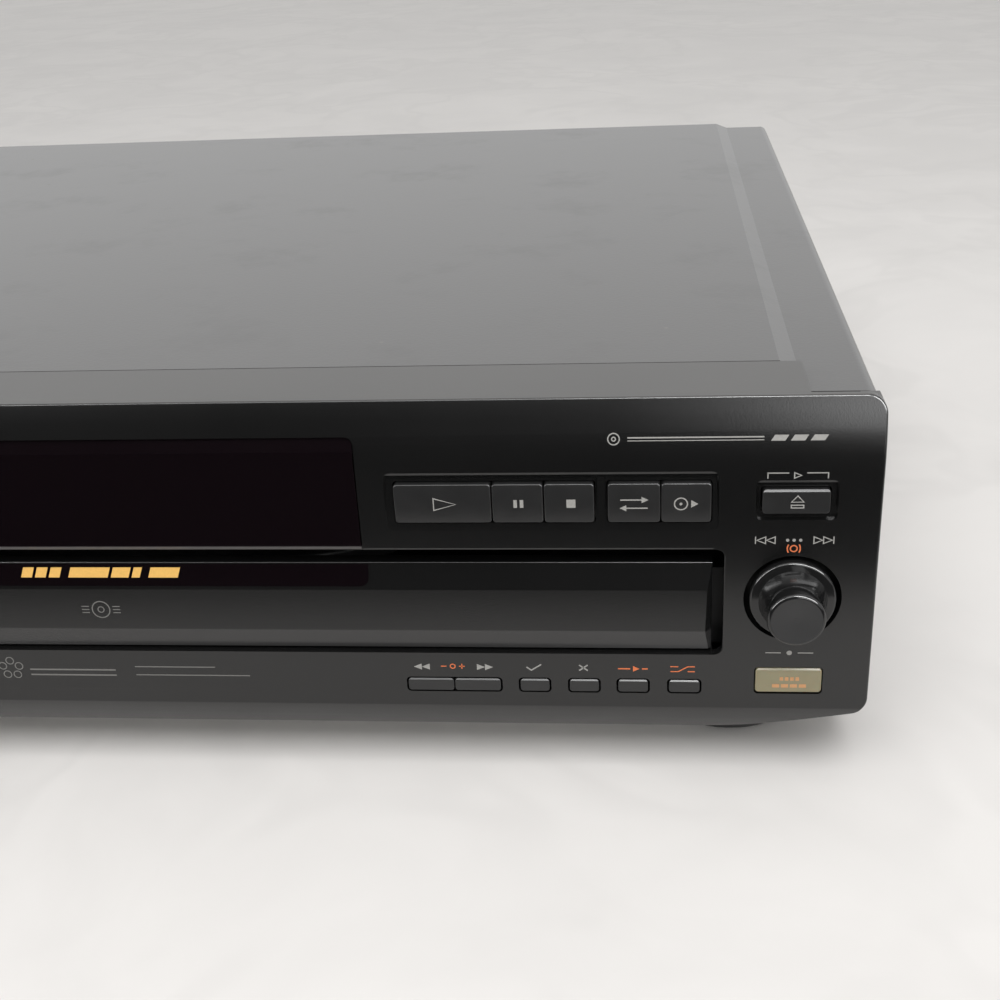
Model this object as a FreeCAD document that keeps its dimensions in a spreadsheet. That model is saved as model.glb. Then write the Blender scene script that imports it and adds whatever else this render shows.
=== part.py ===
import FreeCAD, Part
import math
import os

import Sketcher

# Disc changer with a sliding drawer and a five-place carousel. Millimetres, +Z up, +X to the viewer's
# right, +Y from the front panel towards the rear panel. The origin is the middle of the footprint on
# the surface that the changer stands on.

SHEET = "Sizes"

DIMENSIONS = (
    # whole cabinet
    ("cabinet_wide", 430.0),
    ("cabinet_tall", 115.0),
    ("cabinet_deep", 385.0),
    ("knob_stand_out", 12.0),
    ("jack_stand_out", 9.5),
    ("foot_tall", 10.0),
    ("foot_radius", 24.0),
    ("foot_across", 357.0),
    ("front_foot_back", 43.0),
    ("rear_foot_in", 32.0),
    ("sheet_thick", 1.0),
    # front panel
    ("panel_thick", 2.8),
    ("panel_low", 11.8),
    ("panel_deep", 11.5),
    ("bevel_high", 22.1),
    ("bevel_back", 6.0),
    ("crease_high", 95.7),
    ("brow_back", 4.0),
    ("lip_deep", 29.2),
    ("lip_half", 195.9),
    ("corner_round", 5.0),
    ("sweep_start", 168.0),
    ("sweep_end", 210.5),
    ("sweep_high", 19.9),
    # window and drawer mouth
    ("window_half", 76.5),
    ("window_low", 72.4),
    ("window_high", 105.7),
    ("window_bevel", 3.5),
    ("mouth_half", 174.6),
    ("mouth_flare", 0.3),
    ("mouth_low", 39.6),
    ("mouth_high", 72.6),
    ("door_half", 171.6),
    ("door_low", 40.4),
    ("door_high", 67.3),
    ("door_thick", 6.8),
    # metal cover
    ("cover_half", 214.1),
    ("raised_half", 190.0),
    ("ramp_wide", 5.0),
    ("shoulder_drop", 2.0),
    ("flange_low", 98.5),
    # buttons
    ("key_gap", 0.35),
    ("key_travel", 1.0),
    ("key_low", 81.1),
    ("key_high", 92.4),
    ("small_low", 27.15),
    ("small_high", 31.0),
    ("eject_left", 184.0),
    ("eject_right", 201.5),
    ("eject_low", 83.5),
    ("eject_high", 90.3),
    ("lit_left", 183.9),
    ("lit_right", 202.0),
    ("lit_low", 27.8),
    ("lit_high", 35.4),
    ("knob_across", 193.0),
    ("knob_high", 57.6),
    ("knob_hole", 13.1),
    ("jog_radius", 11.6),
    ("jog_cap", 7.75),
    ("level_radius", 8.0),
    # drawer and carousel
    ("drawer_half", 169.5),
    ("drawer_back", 163.0),
    ("floor_low", 43.0),
    ("floor_thick", 2.5),
    ("wall_high", 60.0),
    ("carousel_radius", 164.0),
    ("carousel_back", -6.0),
    ("carousel_low", 55.5),
    ("carousel_high", 60.0),
    ("well_radius", 60.15),
    ("well_ring", 102.4),
    ("well_deep", 2.5),
    ("slot_wide", 40.0),
    ("pin_radius", 4.0),
    ("running_gap", 0.05),
    # gears
    ("gear_module", 1.5),
    ("ring_teeth", 80.0),
    ("table_teeth", 16.0),
    ("load_teeth", 16.0),
    ("feed_teeth", 16.0),
    ("feed_module", 1.0),
    ("gear_play", 0.24),
    # pickup unit
    ("pivot_back", 170.0),
    ("pivot_high", 46.0),
    ("lower_angle", 7.0),
    ("lift_travel", 28.0),
    ("platter_radius", 15.0),
)


class Size:
    """A length that carries its value and the spreadsheet formula that gives it."""

    def __init__(self, value, formula):
        self.value = value
        self.formula = formula

    def join(self, other, sign, value):
        return Size(value, f"({self.formula} {sign} {as_size(other).formula})")

    def __add__(self, other):
        return self.join(other, "+", self.value + as_size(other).value)

    def __sub__(self, other):
        return self.join(other, "-", self.value - as_size(other).value)

    def __mul__(self, other):
        return self.join(other, "*", self.value * as_size(other).value)

    def __truediv__(self, other):
        return self.join(other, "/", self.value / as_size(other).value)

    def __neg__(self):
        return as_size(0.0) - self

    def __radd__(self, other):
        return as_size(other) + self

    def __rsub__(self, other):
        return as_size(other) - self

    def __rmul__(self, other):
        return as_size(other) * self


def as_size(number):
    if isinstance(number, Size):
        return number
    return Size(float(number), f"({float(number)!r})")


class Sizes:
    """The driving dimensions, one attribute for each."""

    def __init__(self, rows):
        for name, value in rows:
            setattr(self, name, Size(value, f"{SHEET}.{name}"))


class Arc:
    """A round stretch of an outline: it passes one point and ends at another."""

    def __init__(self, through, end):
        self.through = through
        self.end = end


doc = FreeCAD.newDocument("disc_changer")
s = Sizes(DIMENSIONS)
nodes = []

# places that several pieces share
FRONT = s.knob_stand_out - s.cabinet_deep / 2
REAR = s.cabinet_deep / 2 - s.jack_stand_out
PANEL_BACK = FRONT + s.panel_thick
PAN_TOP = s.foot_tall + s.sheet_thick
COVER_FRONT = FRONT + s.panel_deep
DISC_BACK = s.carousel_back + s.well_ring
KEY_BACK = PANEL_BACK + 9.0


# ---------------------------------------------------------------- building blocks

def write_sheet():
    sheet = doc.addObject("Spreadsheet::Sheet", SHEET)
    for row, (name, value) in enumerate(DIMENSIONS, start=1):
        sheet.set(f"A{row}", name)
        sheet.set(f"B{row}", str(value))
        sheet.setAlias(f"B{row}", name)
    doc.recompute()


def bind(item, path, size):
    item.setExpression(path, as_size(size).formula)


def place(item, x=0.0, y=0.0, z=0.0, turn=None):
    rotation = FreeCAD.Rotation(*turn) if turn else FreeCAD.Rotation()
    item.Placement = FreeCAD.Placement(FreeCAD.Vector(), rotation)
    bind(item, "Placement.Base.x", x)
    bind(item, "Placement.Base.y", y)
    bind(item, "Placement.Base.z", z)
    return item


def keep(item, label):
    """Mark a finished sub-part, which becomes a node of its own."""
    item.Label = label
    nodes.append(item)
    return item


def box(name, x, y, z):
    item = doc.addObject("Part::Box", name)
    for path, (low, high) in (("Length", x), ("Width", y), ("Height", z)):
        bind(item, path, as_size(high) - low)
    return place(item, x[0], y[0], z[0])


UP = None
BACK = (FreeCAD.Vector(1, 0, 0), -90)
RIGHT = (FreeCAD.Vector(0, 1, 0), 90)
FORWARD = (FreeCAD.Vector(1, 0, 0), 90)


def rod(name, radius, length, x=0.0, y=0.0, z=0.0, turn=UP):
    item = doc.addObject("Part::Cylinder", name)
    bind(item, "Radius", radius)
    bind(item, "Height", length)
    return place(item, x, y, z, turn)


def fuse(name, *pieces):
    item = doc.addObject("Part::MultiFuse", name)
    item.Shapes = list(pieces)
    return item


def group(name, *pieces):
    item = doc.addObject("Part::Compound", name)
    item.Links = list(pieces)
    return item


def cut(name, base, *tools):
    item = doc.addObject("Part::Cut", name)
    item.Base = base
    item.Tool = tools[0] if len(tools) == 1 else fuse(name + "_tools", *tools)
    return item


def common(name, one, other):
    item = doc.addObject("Part::Common", name)
    item.Base = one
    item.Tool = other
    return item


def fix_point(sketch, geometry, end, point):
    for kind, size in zip(("DistanceX", "DistanceY"), point):
        size = as_size(size)
        number = sketch.addConstraint(Sketcher.Constraint(kind, -1, 1, geometry, end, size.value))
        bind(sketch, f"Constraints[{number}]", size)


def vector(point):
    return FreeCAD.Vector(as_size(point[0]).value, as_size(point[1]).value, 0.0)


def draw_loop(sketch, loop):
    """Draw one closed outline: its points are joined by lines, and each Arc is a round stretch."""
    ends = [step.end if isinstance(step, Arc) else step for step in loop]
    for index, step in enumerate(loop):
        first, last = ends[index - 1], ends[index]
        if not isinstance(step, Arc):
            geometry = sketch.addGeometry(Part.LineSegment(vector(first), vector(last)), False)
        else:
            # a sketch keeps every arc anticlockwise, so a clockwise one is drawn from its far end
            bend = (vector(step.through) - vector(first)).cross(vector(last) - vector(step.through))
            if bend.z < 0.0:
                first, last = last, first
            geometry = sketch.addGeometry(Part.Arc(vector(first), vector(step.through), vector(last)), False)
            mark = sketch.addGeometry(Part.Point(vector(step.through)), True)
            fix_point(sketch, mark, 1, step.through)
            sketch.addConstraint(Sketcher.Constraint("PointOnObject", mark, 1, geometry))
        fix_point(sketch, geometry, 1, first)
        fix_point(sketch, geometry, 2, last)


def draw_circle(sketch, x, y, radius):
    circle = Part.Circle(vector((x, y)), FreeCAD.Vector(0, 0, 1), as_size(radius).value)
    geometry = sketch.addGeometry(circle, False)
    fix_point(sketch, geometry, 3, (x, y))
    number = sketch.addConstraint(Sketcher.Constraint("Radius", geometry, as_size(radius).value))
    bind(sketch, f"Constraints[{number}]", radius)


def draw(sketch, loops):
    for loop in loops:
        if isinstance(loop, tuple):
            draw_circle(sketch, *loop)
        else:
            draw_loop(sketch, loop)


# a sketch's own axes lie along X and Y, X and Z, or Y and Z
SKETCH_TURN = {
    "XY": FreeCAD.Rotation(),
    "XZ": FreeCAD.Rotation(FreeCAD.Vector(1, 0, 0), 90),
    "YZ": FreeCAD.Rotation(FreeCAD.Vector(1, 1, 1), 120),
}
ALONG = {"XY": (0, 0, 1), "XZ": (0, 1, 0), "YZ": (1, 0, 0)}
START_AXIS = {"XY": "z", "XZ": "y", "YZ": "x"}


def prism(name, plane, span, *loops):
    """Extrude outlines drawn in a plane between two places along the plane's normal.

    A loop is a list of points and arcs, or a circle as (x, y, radius)."""
    sketch = doc.addObject("Sketcher::SketchObject", name + "_outline")
    sketch.Placement = FreeCAD.Placement(FreeCAD.Vector(), SKETCH_TURN[plane])
    draw(sketch, loops)
    bind(sketch, "Placement.Base." + START_AXIS[plane], span[0])
    item = doc.addObject("Part::Extrusion", name)
    item.Base = sketch
    item.DirMode = "Custom"
    item.Dir = FreeCAD.Vector(*ALONG[plane])
    item.Solid = True
    bind(item, "LengthFwd", as_size(span[1]) - span[0])
    return item


def prisms(name, plane, span, *loops):
    """Several separate prisms between the same two places."""
    return [prism(f"{name}_{index}", plane, span, loop) for index, loop in enumerate(loops)]


def rounded(x, z, radius):
    """A rectangle with round corners."""
    (left, right), (low, high) = x, z
    left, right, low, high = as_size(left), as_size(right), as_size(low), as_size(high)
    bulge = radius * (1 - math.sqrt(0.5))
    return [
        (right - radius, low),
        Arc((right - bulge, low + bulge), (right, low + radius)),
        (right, high - radius),
        Arc((right - bulge, high - bulge), (right - radius, high)),
        (left + radius, high),
        Arc((left + bulge, high - bulge), (left, high - radius)),
        (left, low + radius),
        Arc((left + bulge, low + bulge), (left + radius, low)),
    ]


def pad_body(name, plane, span, *loops):
    """A PartDesign body made by padding a sketch on one of its own origin planes."""
    body = doc.addObject("PartDesign::Body", name + "_body")
    sketch = body.newObject("Sketcher::SketchObject", name + "_sketch")
    origin_plane = [p for p in body.Origin.OriginFeatures if p.Role == plane + "_Plane"][0]
    sketch.AttachmentSupport = [(origin_plane, "")]
    sketch.MapMode = "FlatFace"
    draw(sketch, loops)
    # the normal of the XZ plane points to -Y, so its pad starts at the far end of the span
    start = -as_size(span[1]) if plane == "XZ" else as_size(span[0])
    bind(sketch, "AttachmentOffset.Base.z", start)
    pad = body.newObject("PartDesign::Pad", name + "_pad")
    pad.Profile = sketch
    bind(pad, "Length", as_size(span[1]) - span[0])
    body.Tip = pad
    return body


def turned(name, outline, x=0.0, y=0.0, z=0.0, turn=UP):
    """A PartDesign body revolved about its own vertical axis. The outline is (radius, height) points."""
    body = doc.addObject("PartDesign::Body", name + "_body")
    sketch = body.newObject("Sketcher::SketchObject", name + "_sketch")
    origin_plane = [p for p in body.Origin.OriginFeatures if p.Role == "XZ_Plane"][0]
    sketch.AttachmentSupport = [(origin_plane, "")]
    sketch.MapMode = "FlatFace"
    draw(sketch, [outline])
    revolution = body.newObject("PartDesign::Revolution", name + "_turn")
    revolution.Profile = sketch
    revolution.ReferenceAxis = (sketch, ["V_Axis"])
    revolution.Angle = 360.0
    body.Tip = revolution
    return place(body, x, y, z, turn)


def soften(name, base, radius, chosen, kind="Part::Fillet"):
    """Round (or chamfer) the edges of a finished shape that a test picks."""
    doc.recompute()
    item = doc.addObject(kind, name)
    item.Base = base
    size = as_size(radius).value
    picked = [number for number, edge in enumerate(base.Shape.Edges, start=1) if chosen(edge)]
    item.Edges = [(number, size, size) for number in picked]
    return item


def edge_points(edge):
    first, last = edge.ParameterRange
    return [edge.valueAt(first + (last - first) * step / 4.0) for step in range(5)]


def lies_at(axis, value, reach=0.01):
    """A test for edges that lie wholly in one plane, such as a button's front face."""
    level = as_size(value).value
    return lambda edge: all(abs(getattr(point, axis) - level) < reach for point in edge_points(edge))


# ---------------------------------------------------------------- gears

PRESSURE = math.radians(20.0)
TIP_FACTOR = 0.8
ROOT_FACTOR = 1.1


def involute(angle):
    return math.tan(angle) - angle


def gear_profile(teeth, module, tooth_angle):
    """The outline of an involute spur gear. One tooth is centred on tooth_angle, in degrees."""
    pitch = module * teeth / 2.0
    base = pitch * math.cos(PRESSURE)
    root = pitch - ROOT_FACTOR * module
    tip = pitch + TIP_FACTOR * module
    half_tooth = math.pi / (2.0 * teeth) - s.gear_play.value / (4.0 * pitch)

    def half_angle(radius):
        lean = math.acos(min(1.0, base / radius))
        return half_tooth + involute(PRESSURE) - involute(lean)

    flank = [(root, half_angle(max(root, base))), (pitch, half_angle(pitch)), (tip, half_angle(tip))]
    points = []
    for tooth in range(teeth):
        middle = math.radians(tooth_angle) + 2.0 * math.pi * tooth / teeth
        for radius, offset in flank:
            points.append((radius, middle - offset))
        for radius, offset in reversed(flank):
            points.append((radius, middle + offset))
    return [FreeCAD.Vector(r * math.cos(a), r * math.sin(a), 0.0) for r, a in points]


def gear(name, teeth, module, z, tooth_angle, x, y):
    """A spur gear with a vertical axis. Its outline is computed, so its shape is set in code."""
    low, high = as_size(z[0]).value, as_size(z[1]).value
    points = gear_profile(int(teeth.value), module.value, tooth_angle)
    face = Part.Face(Part.makePolygon(points + points[:1]))
    item = doc.addObject("Part::Feature", name)
    item.Shape = face.extrude(FreeCAD.Vector(0.0, 0.0, high - low))
    return place(item, x, y, low)


def rack(name, module, count, z, start, back, towards):
    """A straight toothed bar along Y: its pitch line is at X = start[0], teeth point along towards."""
    pitch_x, gap_y = as_size(start[0]).value, as_size(start[1]).value
    low, high = as_size(z[0]).value, as_size(z[1]).value
    step = math.pi * module
    half = step / 4.0 - s.gear_play.value / 4.0
    tip = TIP_FACTOR * module
    root = ROOT_FACTOR * module
    points = []
    for tooth in range(count):
        middle = gap_y + step * (tooth + 0.5)
        for height, side in ((-root, -1), (tip, -1), (tip, 1), (-root, 1)):
            points.append((pitch_x + towards * height, middle + side * (half - height * math.tan(PRESSURE))))
    back_x = pitch_x - towards * as_size(back).value
    first = points[0][1] - 1.0
    last = points[-1][1] + 1.0
    root_x = pitch_x - towards * root
    outline = [(back_x, first), (root_x, first)] + points + [(root_x, last), (back_x, last)]
    vertices = [FreeCAD.Vector(px, py, low) for px, py in outline]
    item = doc.addObject("Part::Feature", name)
    item.Shape = Part.Face(Part.makePolygon(vertices + vertices[:1])).extrude(FreeCAD.Vector(0, 0, high - low))
    return item


# ---------------------------------------------------------------- cabinet

def chassis_base():
    """The folded steel pan that everything stands on."""
    half = s.cover_half - s.sheet_thick - 0.4
    front = COVER_FRONT + 3.0
    back = REAR - s.sheet_thick - 0.2
    block = box("pan_block", (-half, half), (front, back), (s.foot_tall, 24.0))
    apron = box("pan_apron", (-half, half), (COVER_FRONT + 0.2, front + 1.0), (s.foot_tall, PAN_TOP))
    inside = box("pan_inside", (s.sheet_thick - half, half - s.sheet_thick),
                 (front + s.sheet_thick, back - s.sheet_thick), (PAN_TOP, 25.0))
    slots = prisms("pan_vents", "XY", (s.foot_tall - 1.0, PAN_TOP + 1.0),
                  *[rounded((x - 2.0, x + 2.0), (-110.0, -60.0), 1.9) for x in range(90, 170, 10)])
    holes = side_screw_holes("pan_hole", SCREW_HOLE)
    corners = prisms("pan_corners", "XY", (s.foot_tall - 1.0, 25.0),
                     [(183.0, FRONT + 11.0), (214.0, FRONT + 11.0), (214.0, FRONT + 20.0)],
                     [(-183.0, FRONT + 11.0), (-214.0, FRONT + 20.0), (-214.0, FRONT + 11.0)])
    keep(cut("pan", fuse("pan_blank", block, apron), inside, *slots, *holes, *corners), "chassis_base")


def feet():
    """Four round feet with rubber pads, which are what touches the shelf."""
    feet_made, pads_made = [], []
    half = s.foot_across / 2
    for index, (side, y) in enumerate((
            (-1, FRONT + s.front_foot_back), (1, FRONT + s.front_foot_back),
            (-1, REAR - s.rear_foot_in), (1, REAR - s.rear_foot_in))):
        tall, wide = s.foot_tall, s.foot_radius
        foot = turned(f"foot_{index}", [
            (0.0, 2.4), (wide - 5.5, 2.4), (wide - 5.5, 1.2), (wide - 0.9, 1.2),
            (wide, 2.2), (wide, tall), (0.0, tall)], side * half, y, 0.0)
        pad = turned(f"pad_{index}", [
            (0.0, 0.0), (wide - 6.6, 0.0), (wide - 6.0, 0.6), (wide - 6.0, 2.4), (0.0, 2.4)],
            side * half, y, 0.0)
        feet_made.append(foot)
        pads_made.append(pad)
    keep(group("feet_group", *feet_made), "feet")
    keep(group("pads_group", *pads_made), "foot_pads")


def rear_panel():
    """The flat steel back with its cut-outs."""
    half = s.cover_half - s.sheet_thick - 0.4
    sheet = [(-half, s.foot_tall), (half, s.foot_tall), (half, 110.5), (-half, 110.5)]
    holes = [
        (CORD_X, CORD_Z, 6.5),
        (OPTICAL_X, JACK_HIGH, 7.2),
        (LINE_X, JACK_LOW, 5.4), (LINE_X, JACK_HIGH, 5.4),
    ]
    holes += [(x, BACK_SCREW_HIGH, SCREW_HOLE) for x in BACK_SCREWS]
    vents = [rounded((x - 1.5, x + 1.5), (75.0, 95.0), 1.4) for x in range(-170, -90, 8)]
    cuts = prisms("back_vents", "XZ", (REAR - 3.0, REAR + 2.0), *vents, *holes)
    plain = prism("back_sheet", "XZ", (REAR - s.sheet_thick, REAR), sheet)
    keep(cut("back", plain, *cuts), "rear_panel")


CORD_X = -165.0
CORD_Z = 40.0
LINE_X = 150.0
OPTICAL_X = 182.0
JACK_LOW = 42.0
JACK_HIGH = 58.0


def cover_outline(inset):
    """Half of the cover's cross-section, from the foot of the right side to the middle of the top."""
    side = s.cover_half - inset
    top = s.cabinet_tall - inset
    shoulder = top - s.shoulder_drop
    bend = 3.0 - inset
    bulge = bend * (1 - math.sqrt(0.5))
    right = [
        (side, shoulder - bend),
        Arc((side - bulge, shoulder - bulge), (side - bend, shoulder)),
        (s.raised_half + s.ramp_wide, shoulder),
        (s.raised_half, top),
    ]
    left = [
        (-s.raised_half, top),
        (-s.raised_half - s.ramp_wide, shoulder),
        (bend - side, shoulder),
        Arc((bulge - side, shoulder - bulge), (-side, shoulder - bend)),
    ]
    return side, right + left


def top_cover():
    """The folded metal cover: raised middle, low shoulders, two sides and a flange over the rear panel."""
    low = s.foot_tall + 0.5
    front = COVER_FRONT + 0.2
    fold = REAR + 0.1
    back = fold + s.sheet_thick
    side, skin = cover_outline(0.0)
    inner_side, lining = cover_outline(s.sheet_thick)
    outer = pad_body("cover_skin", "XZ", (front, back), [(side, low)] + skin + [(-side, low)])
    inner = pad_body("cover_hollow", "XZ", (front - 1.0, fold),
                     [(inner_side, low - 1.0)] + lining + [(-inner_side, low - 1.0)])
    below = box("cover_below", (-inner_side, inner_side), (fold - 1.0, back + 1.0), (low - 1.0, s.flange_low))
    notch_half = s.lip_half + 0.4
    notch = box("cover_notch", (-notch_half, notch_half), (COVER_FRONT - 1.0, FRONT + s.lip_deep + 0.4),
                (s.cabinet_tall - 8.0, s.cabinet_tall + 1.0))
    nick = prism("cover_nick", "YZ", (-s.cabinet_wide / 2, s.cabinet_wide / 2), [
        (front - 1.0, low - 1.0), (front + 9.0, low - 1.0), (front + 8.0, low),
        (front, low + 4.5), (front - 1.0, low + 4.5)])
    holes = side_screw_holes("cover_hole", SCREW_HOLE)
    holes += prisms("cover_back_hole", "XZ", (fold - 1.0, back + 1.0),
                    *[(x, BACK_SCREW_HIGH, SCREW_HOLE) for x in BACK_SCREWS])
    keep(cut("cover", outer, inner, below, notch, nick, *holes), "top_cover")


SIDE_SCREWS = ((-60.0, 18.0), (150.0, 18.0))
BACK_SCREWS = (-200.0, 0.0, 200.0)
BACK_SCREW_HIGH = 105.0
SCREW_HOLE = 1.5


def side_screw_holes(name, radius):
    return [rod(f"{name}_{index}", radius, s.cabinet_wide, -s.cabinet_wide / 2, y, z, RIGHT)
            for index, (y, z) in enumerate(SIDE_SCREWS)]


def case_screws():
    """Four side screws and three rear screws with round heads and crossed recesses."""
    screws = []
    spots = [(side, y, z) for side in (-1, 1) for y, z in SIDE_SCREWS]
    for index, (side, y, z) in enumerate(spots):
        turn = (FreeCAD.Vector(0, 1, 0), 90 * side)
        screws.append(screw(f"side_screw_{index}", side * s.cover_half, y, z, turn))
    flange = REAR + 0.1 + s.sheet_thick
    for index, x in enumerate(BACK_SCREWS):
        screws.append(screw(f"back_screw_{index}", x, flange, BACK_SCREW_HIGH, BACK))
    keep(group("screws_group", *screws), "case_screws")


def screw(name, x, y, z, turn):
    """A screw whose head stands on a sheet and whose shank points into the case."""
    body = turned(name + "_blank", [
        (0.0, -1.6), (1.4, -1.6), (1.4, 0.0), (3.2, 0.0), (3.2, 0.35),
        (2.6, 0.85), (0.0, 0.85)], x, y, z, turn)
    centre = FreeCAD.Vector(as_size(x).value, as_size(y).value, as_size(z).value)
    direction = FreeCAD.Rotation(*turn).multVec(FreeCAD.Vector(0, 0, 1))
    bars = []
    for number, along in enumerate((FreeCAD.Vector(0, 0, 1), direction.cross(FreeCAD.Vector(0, 0, 1)))):
        across = direction.cross(along)
        bar = doc.addObject("Part::Box", f"{name}_slot_{number}")
        bar.Length, bar.Width, bar.Height = 0.7, 3.4, 2.0
        rotation = FreeCAD.Rotation(across, along, direction)
        corner = centre + direction * 0.4 - across * 0.35 - along * 1.7
        bar.Placement = FreeCAD.Placement(corner, rotation)
        bars.append(bar)
    return cut(name, body, *bars)


# ---------------------------------------------------------------- front panel

def panel_front_line(inset):
    """The front panel's face from bottom to top, as points back from the front plane and up."""
    return [
        (FRONT + s.bevel_back + inset * 0.7, s.panel_low + inset),
        Arc((FRONT + 2.4 + inset, 16.6 + inset * 0.7), (FRONT + inset, s.bevel_high + inset * 0.5)),
        (FRONT + inset, s.crease_high - inset * 0.5),
        Arc((FRONT + 1.1 + inset * 1.05, 106.0 - inset * 0.5),
            (FRONT + s.brow_back + inset * 1.1, s.cabinet_tall - inset)),
    ]


def panel_outline(inset):
    """The front panel seen from the front: round top corners, lower corners that sweep up."""
    half = s.cabinet_wide / 2 - inset
    top = s.cabinet_tall - inset
    low = s.panel_low + inset
    radius = s.corner_round - inset
    bulge = radius * (1 - math.sqrt(0.5))
    start = s.sweep_start
    end = s.sweep_end - inset * 0.6
    sweep = s.sweep_high + inset
    right = [
        (start, low),
        Arc((start + 12.0, low + 0.9), (start + 22.0, low + 3.2)),
        (end, sweep),
        Arc((half - 1.3, sweep + 1.9), (half, sweep + 5.1)),
        (half, top - radius),
        Arc((half - bulge, top - bulge), (half - radius, top)),
    ]
    left = [
        (radius - half, top),
        Arc((bulge - half, top - bulge), (-half, top - radius)),
        (-half, sweep + 5.1),
        Arc((1.3 - half, sweep + 1.9), (-end, sweep)),
        (-start - 22.0, low + 3.2),
        Arc((-start - 12.0, low + 0.9), (-start, low)),
    ]
    return right + left


def panel_solid(name, inset, back):
    profile = panel_front_line(inset)
    loop = profile + [(back, s.cabinet_tall - inset), (back, s.panel_low + inset)]
    along = prism(name + "_profile", "YZ", (-s.cabinet_wide / 2, s.cabinet_wide / 2), loop)
    across = prism(name + "_outline", "XZ", (FRONT - 1.0, back + 1.0), panel_outline(inset))
    return common(name, along, across)


def key_hole(left, right, low, high, radius=1.0):
    gap = s.key_gap
    across = (as_size(left) - gap, as_size(right) + gap)
    return rounded(across, (as_size(low) - gap, as_size(high) + gap), radius)


def small_hole(left, right):
    """The small keys stand in wider holes, with most of the gap above them."""
    return rounded((left - 0.5, right + 0.5), (s.small_low - 0.45, s.small_high + 0.6), 1.3)


SMALL_KEYS = (
    ("search_back_button", 85.9, 99.05),
    ("search_forward_button", 99.35, 112.5),
    ("check_button", 118.1, 126.4),
    ("clear_button", 132.1, 140.4),
    ("delay_button", 145.8, 154.2),
    ("fade_button", 160.0, 168.6),
)
MAIN_KEYS = (
    ("play_button", 86.5, 112.65),
    ("pause_button", 112.95, 126.55),
    ("stop_button", 126.85, 140.1),
    ("exchange_button", 143.7, 157.45),
    ("disc_skip_button", 157.75, 170.8),
)
MODE_KEYS = (
    ("program_button", -170.8, -143.0),
    ("shuffle_button", -142.7, -114.6),
    ("continue_button", -114.3, -86.5),
)
LEVEL_X = -193.0
PHONES_X = -193.0
PHONES_Z = 31.3


def recess(name, left, right, low, high, radius, foot, slope):
    """A shallow pocket in the front, whose floor slopes up to the face over the height of its foot."""
    deep = FRONT + 1.2
    edge = 0.7
    outline = prism(name + "_outline", "XZ", (FRONT - 1.0, deep), rounded((left, right), (low, high + edge), radius))
    side = prism(name + "_side", "YZ", (left - 1.0, right + 1.0), [
        (FRONT - 1.0, low), (FRONT, low), (deep, low + foot), (deep, high), (FRONT + 0.25, high),
        (FRONT, high + edge), (FRONT - 1.0, high + edge)])
    plan = prism(name + "_plan", "XY", (low - 1.0, high + 1.0), [
        (left, FRONT - 1.0), (right, FRONT - 1.0), (right, FRONT), (right - slope, deep), (left + slope, deep),
        (left, FRONT)])
    return common(name, common(name + "_block", outline, side), plan)


def mouth_flare():
    """Breaks the edges of the drawer's mouth."""
    wide = s.mouth_flare
    narrow = s.mouth_half
    half = narrow + wide
    bulge = wide * (1.0 - math.sqrt(0.5))
    plan = prism("flare_plan", "XY", (s.mouth_low, s.mouth_high), [
        (half, FRONT - 1.0), (half, FRONT), Arc((narrow + bulge, FRONT + bulge), (narrow, FRONT + wide)),
        (-narrow, FRONT + wide), Arc((-narrow - bulge, FRONT + bulge), (-half, FRONT)), (-half, FRONT - 1.0)])
    outline = prism("flare_outline", "XZ", (FRONT - 1.0, FRONT + wide),
                    rounded((-half, half), (s.mouth_low, s.mouth_high), 2.8))
    top = prism("flare_top", "YZ", (3.0 - narrow, narrow - 3.0), [
        (FRONT - 1.0, s.mouth_high - 1.0), (FRONT + 1.0, s.mouth_high - 1.0), (FRONT + 0.2, s.mouth_high),
        (FRONT, s.mouth_high + 0.5), (FRONT - 1.0, s.mouth_high + 0.5)])
    return [common("flare", plan, outline), top]


def joggled(panel):
    """Steps the panel's top down beside the lip, where the cover's low shoulders reach forward."""
    level = s.cabinet_tall - 2.5
    far = s.lip_half + 13.2
    rim_back = FRONT + s.brow_back + 2.0
    ribs = [box("rib_left", (-far - 1.2, -s.lip_half), (rim_back - 1.5, COVER_FRONT), (level - 1.5, level)),
            box("rib_right", (s.lip_half, far + 1.2), (rim_back - 1.5, COVER_FRONT), (level - 1.5, level))]
    over = (level, s.cabinet_tall + 1.0)
    corner = (s.cabinet_tall - s.shoulder_drop, s.cabinet_tall + 1.0)
    side = s.cabinet_wide / 2 + 1.0
    behind = (rim_back, COVER_FRONT + 1.0)
    steps = [box("step_left", (-far, -s.lip_half), behind, over),
             box("step_right", (s.lip_half, far), behind, over),
             box("corner_left", (-side, -far), behind, corner),
             box("corner_right", (far, side), behind, corner)]
    return cut("panel_joggled", fuse("panel_ribbed", panel, *ribs), *steps)


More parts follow.
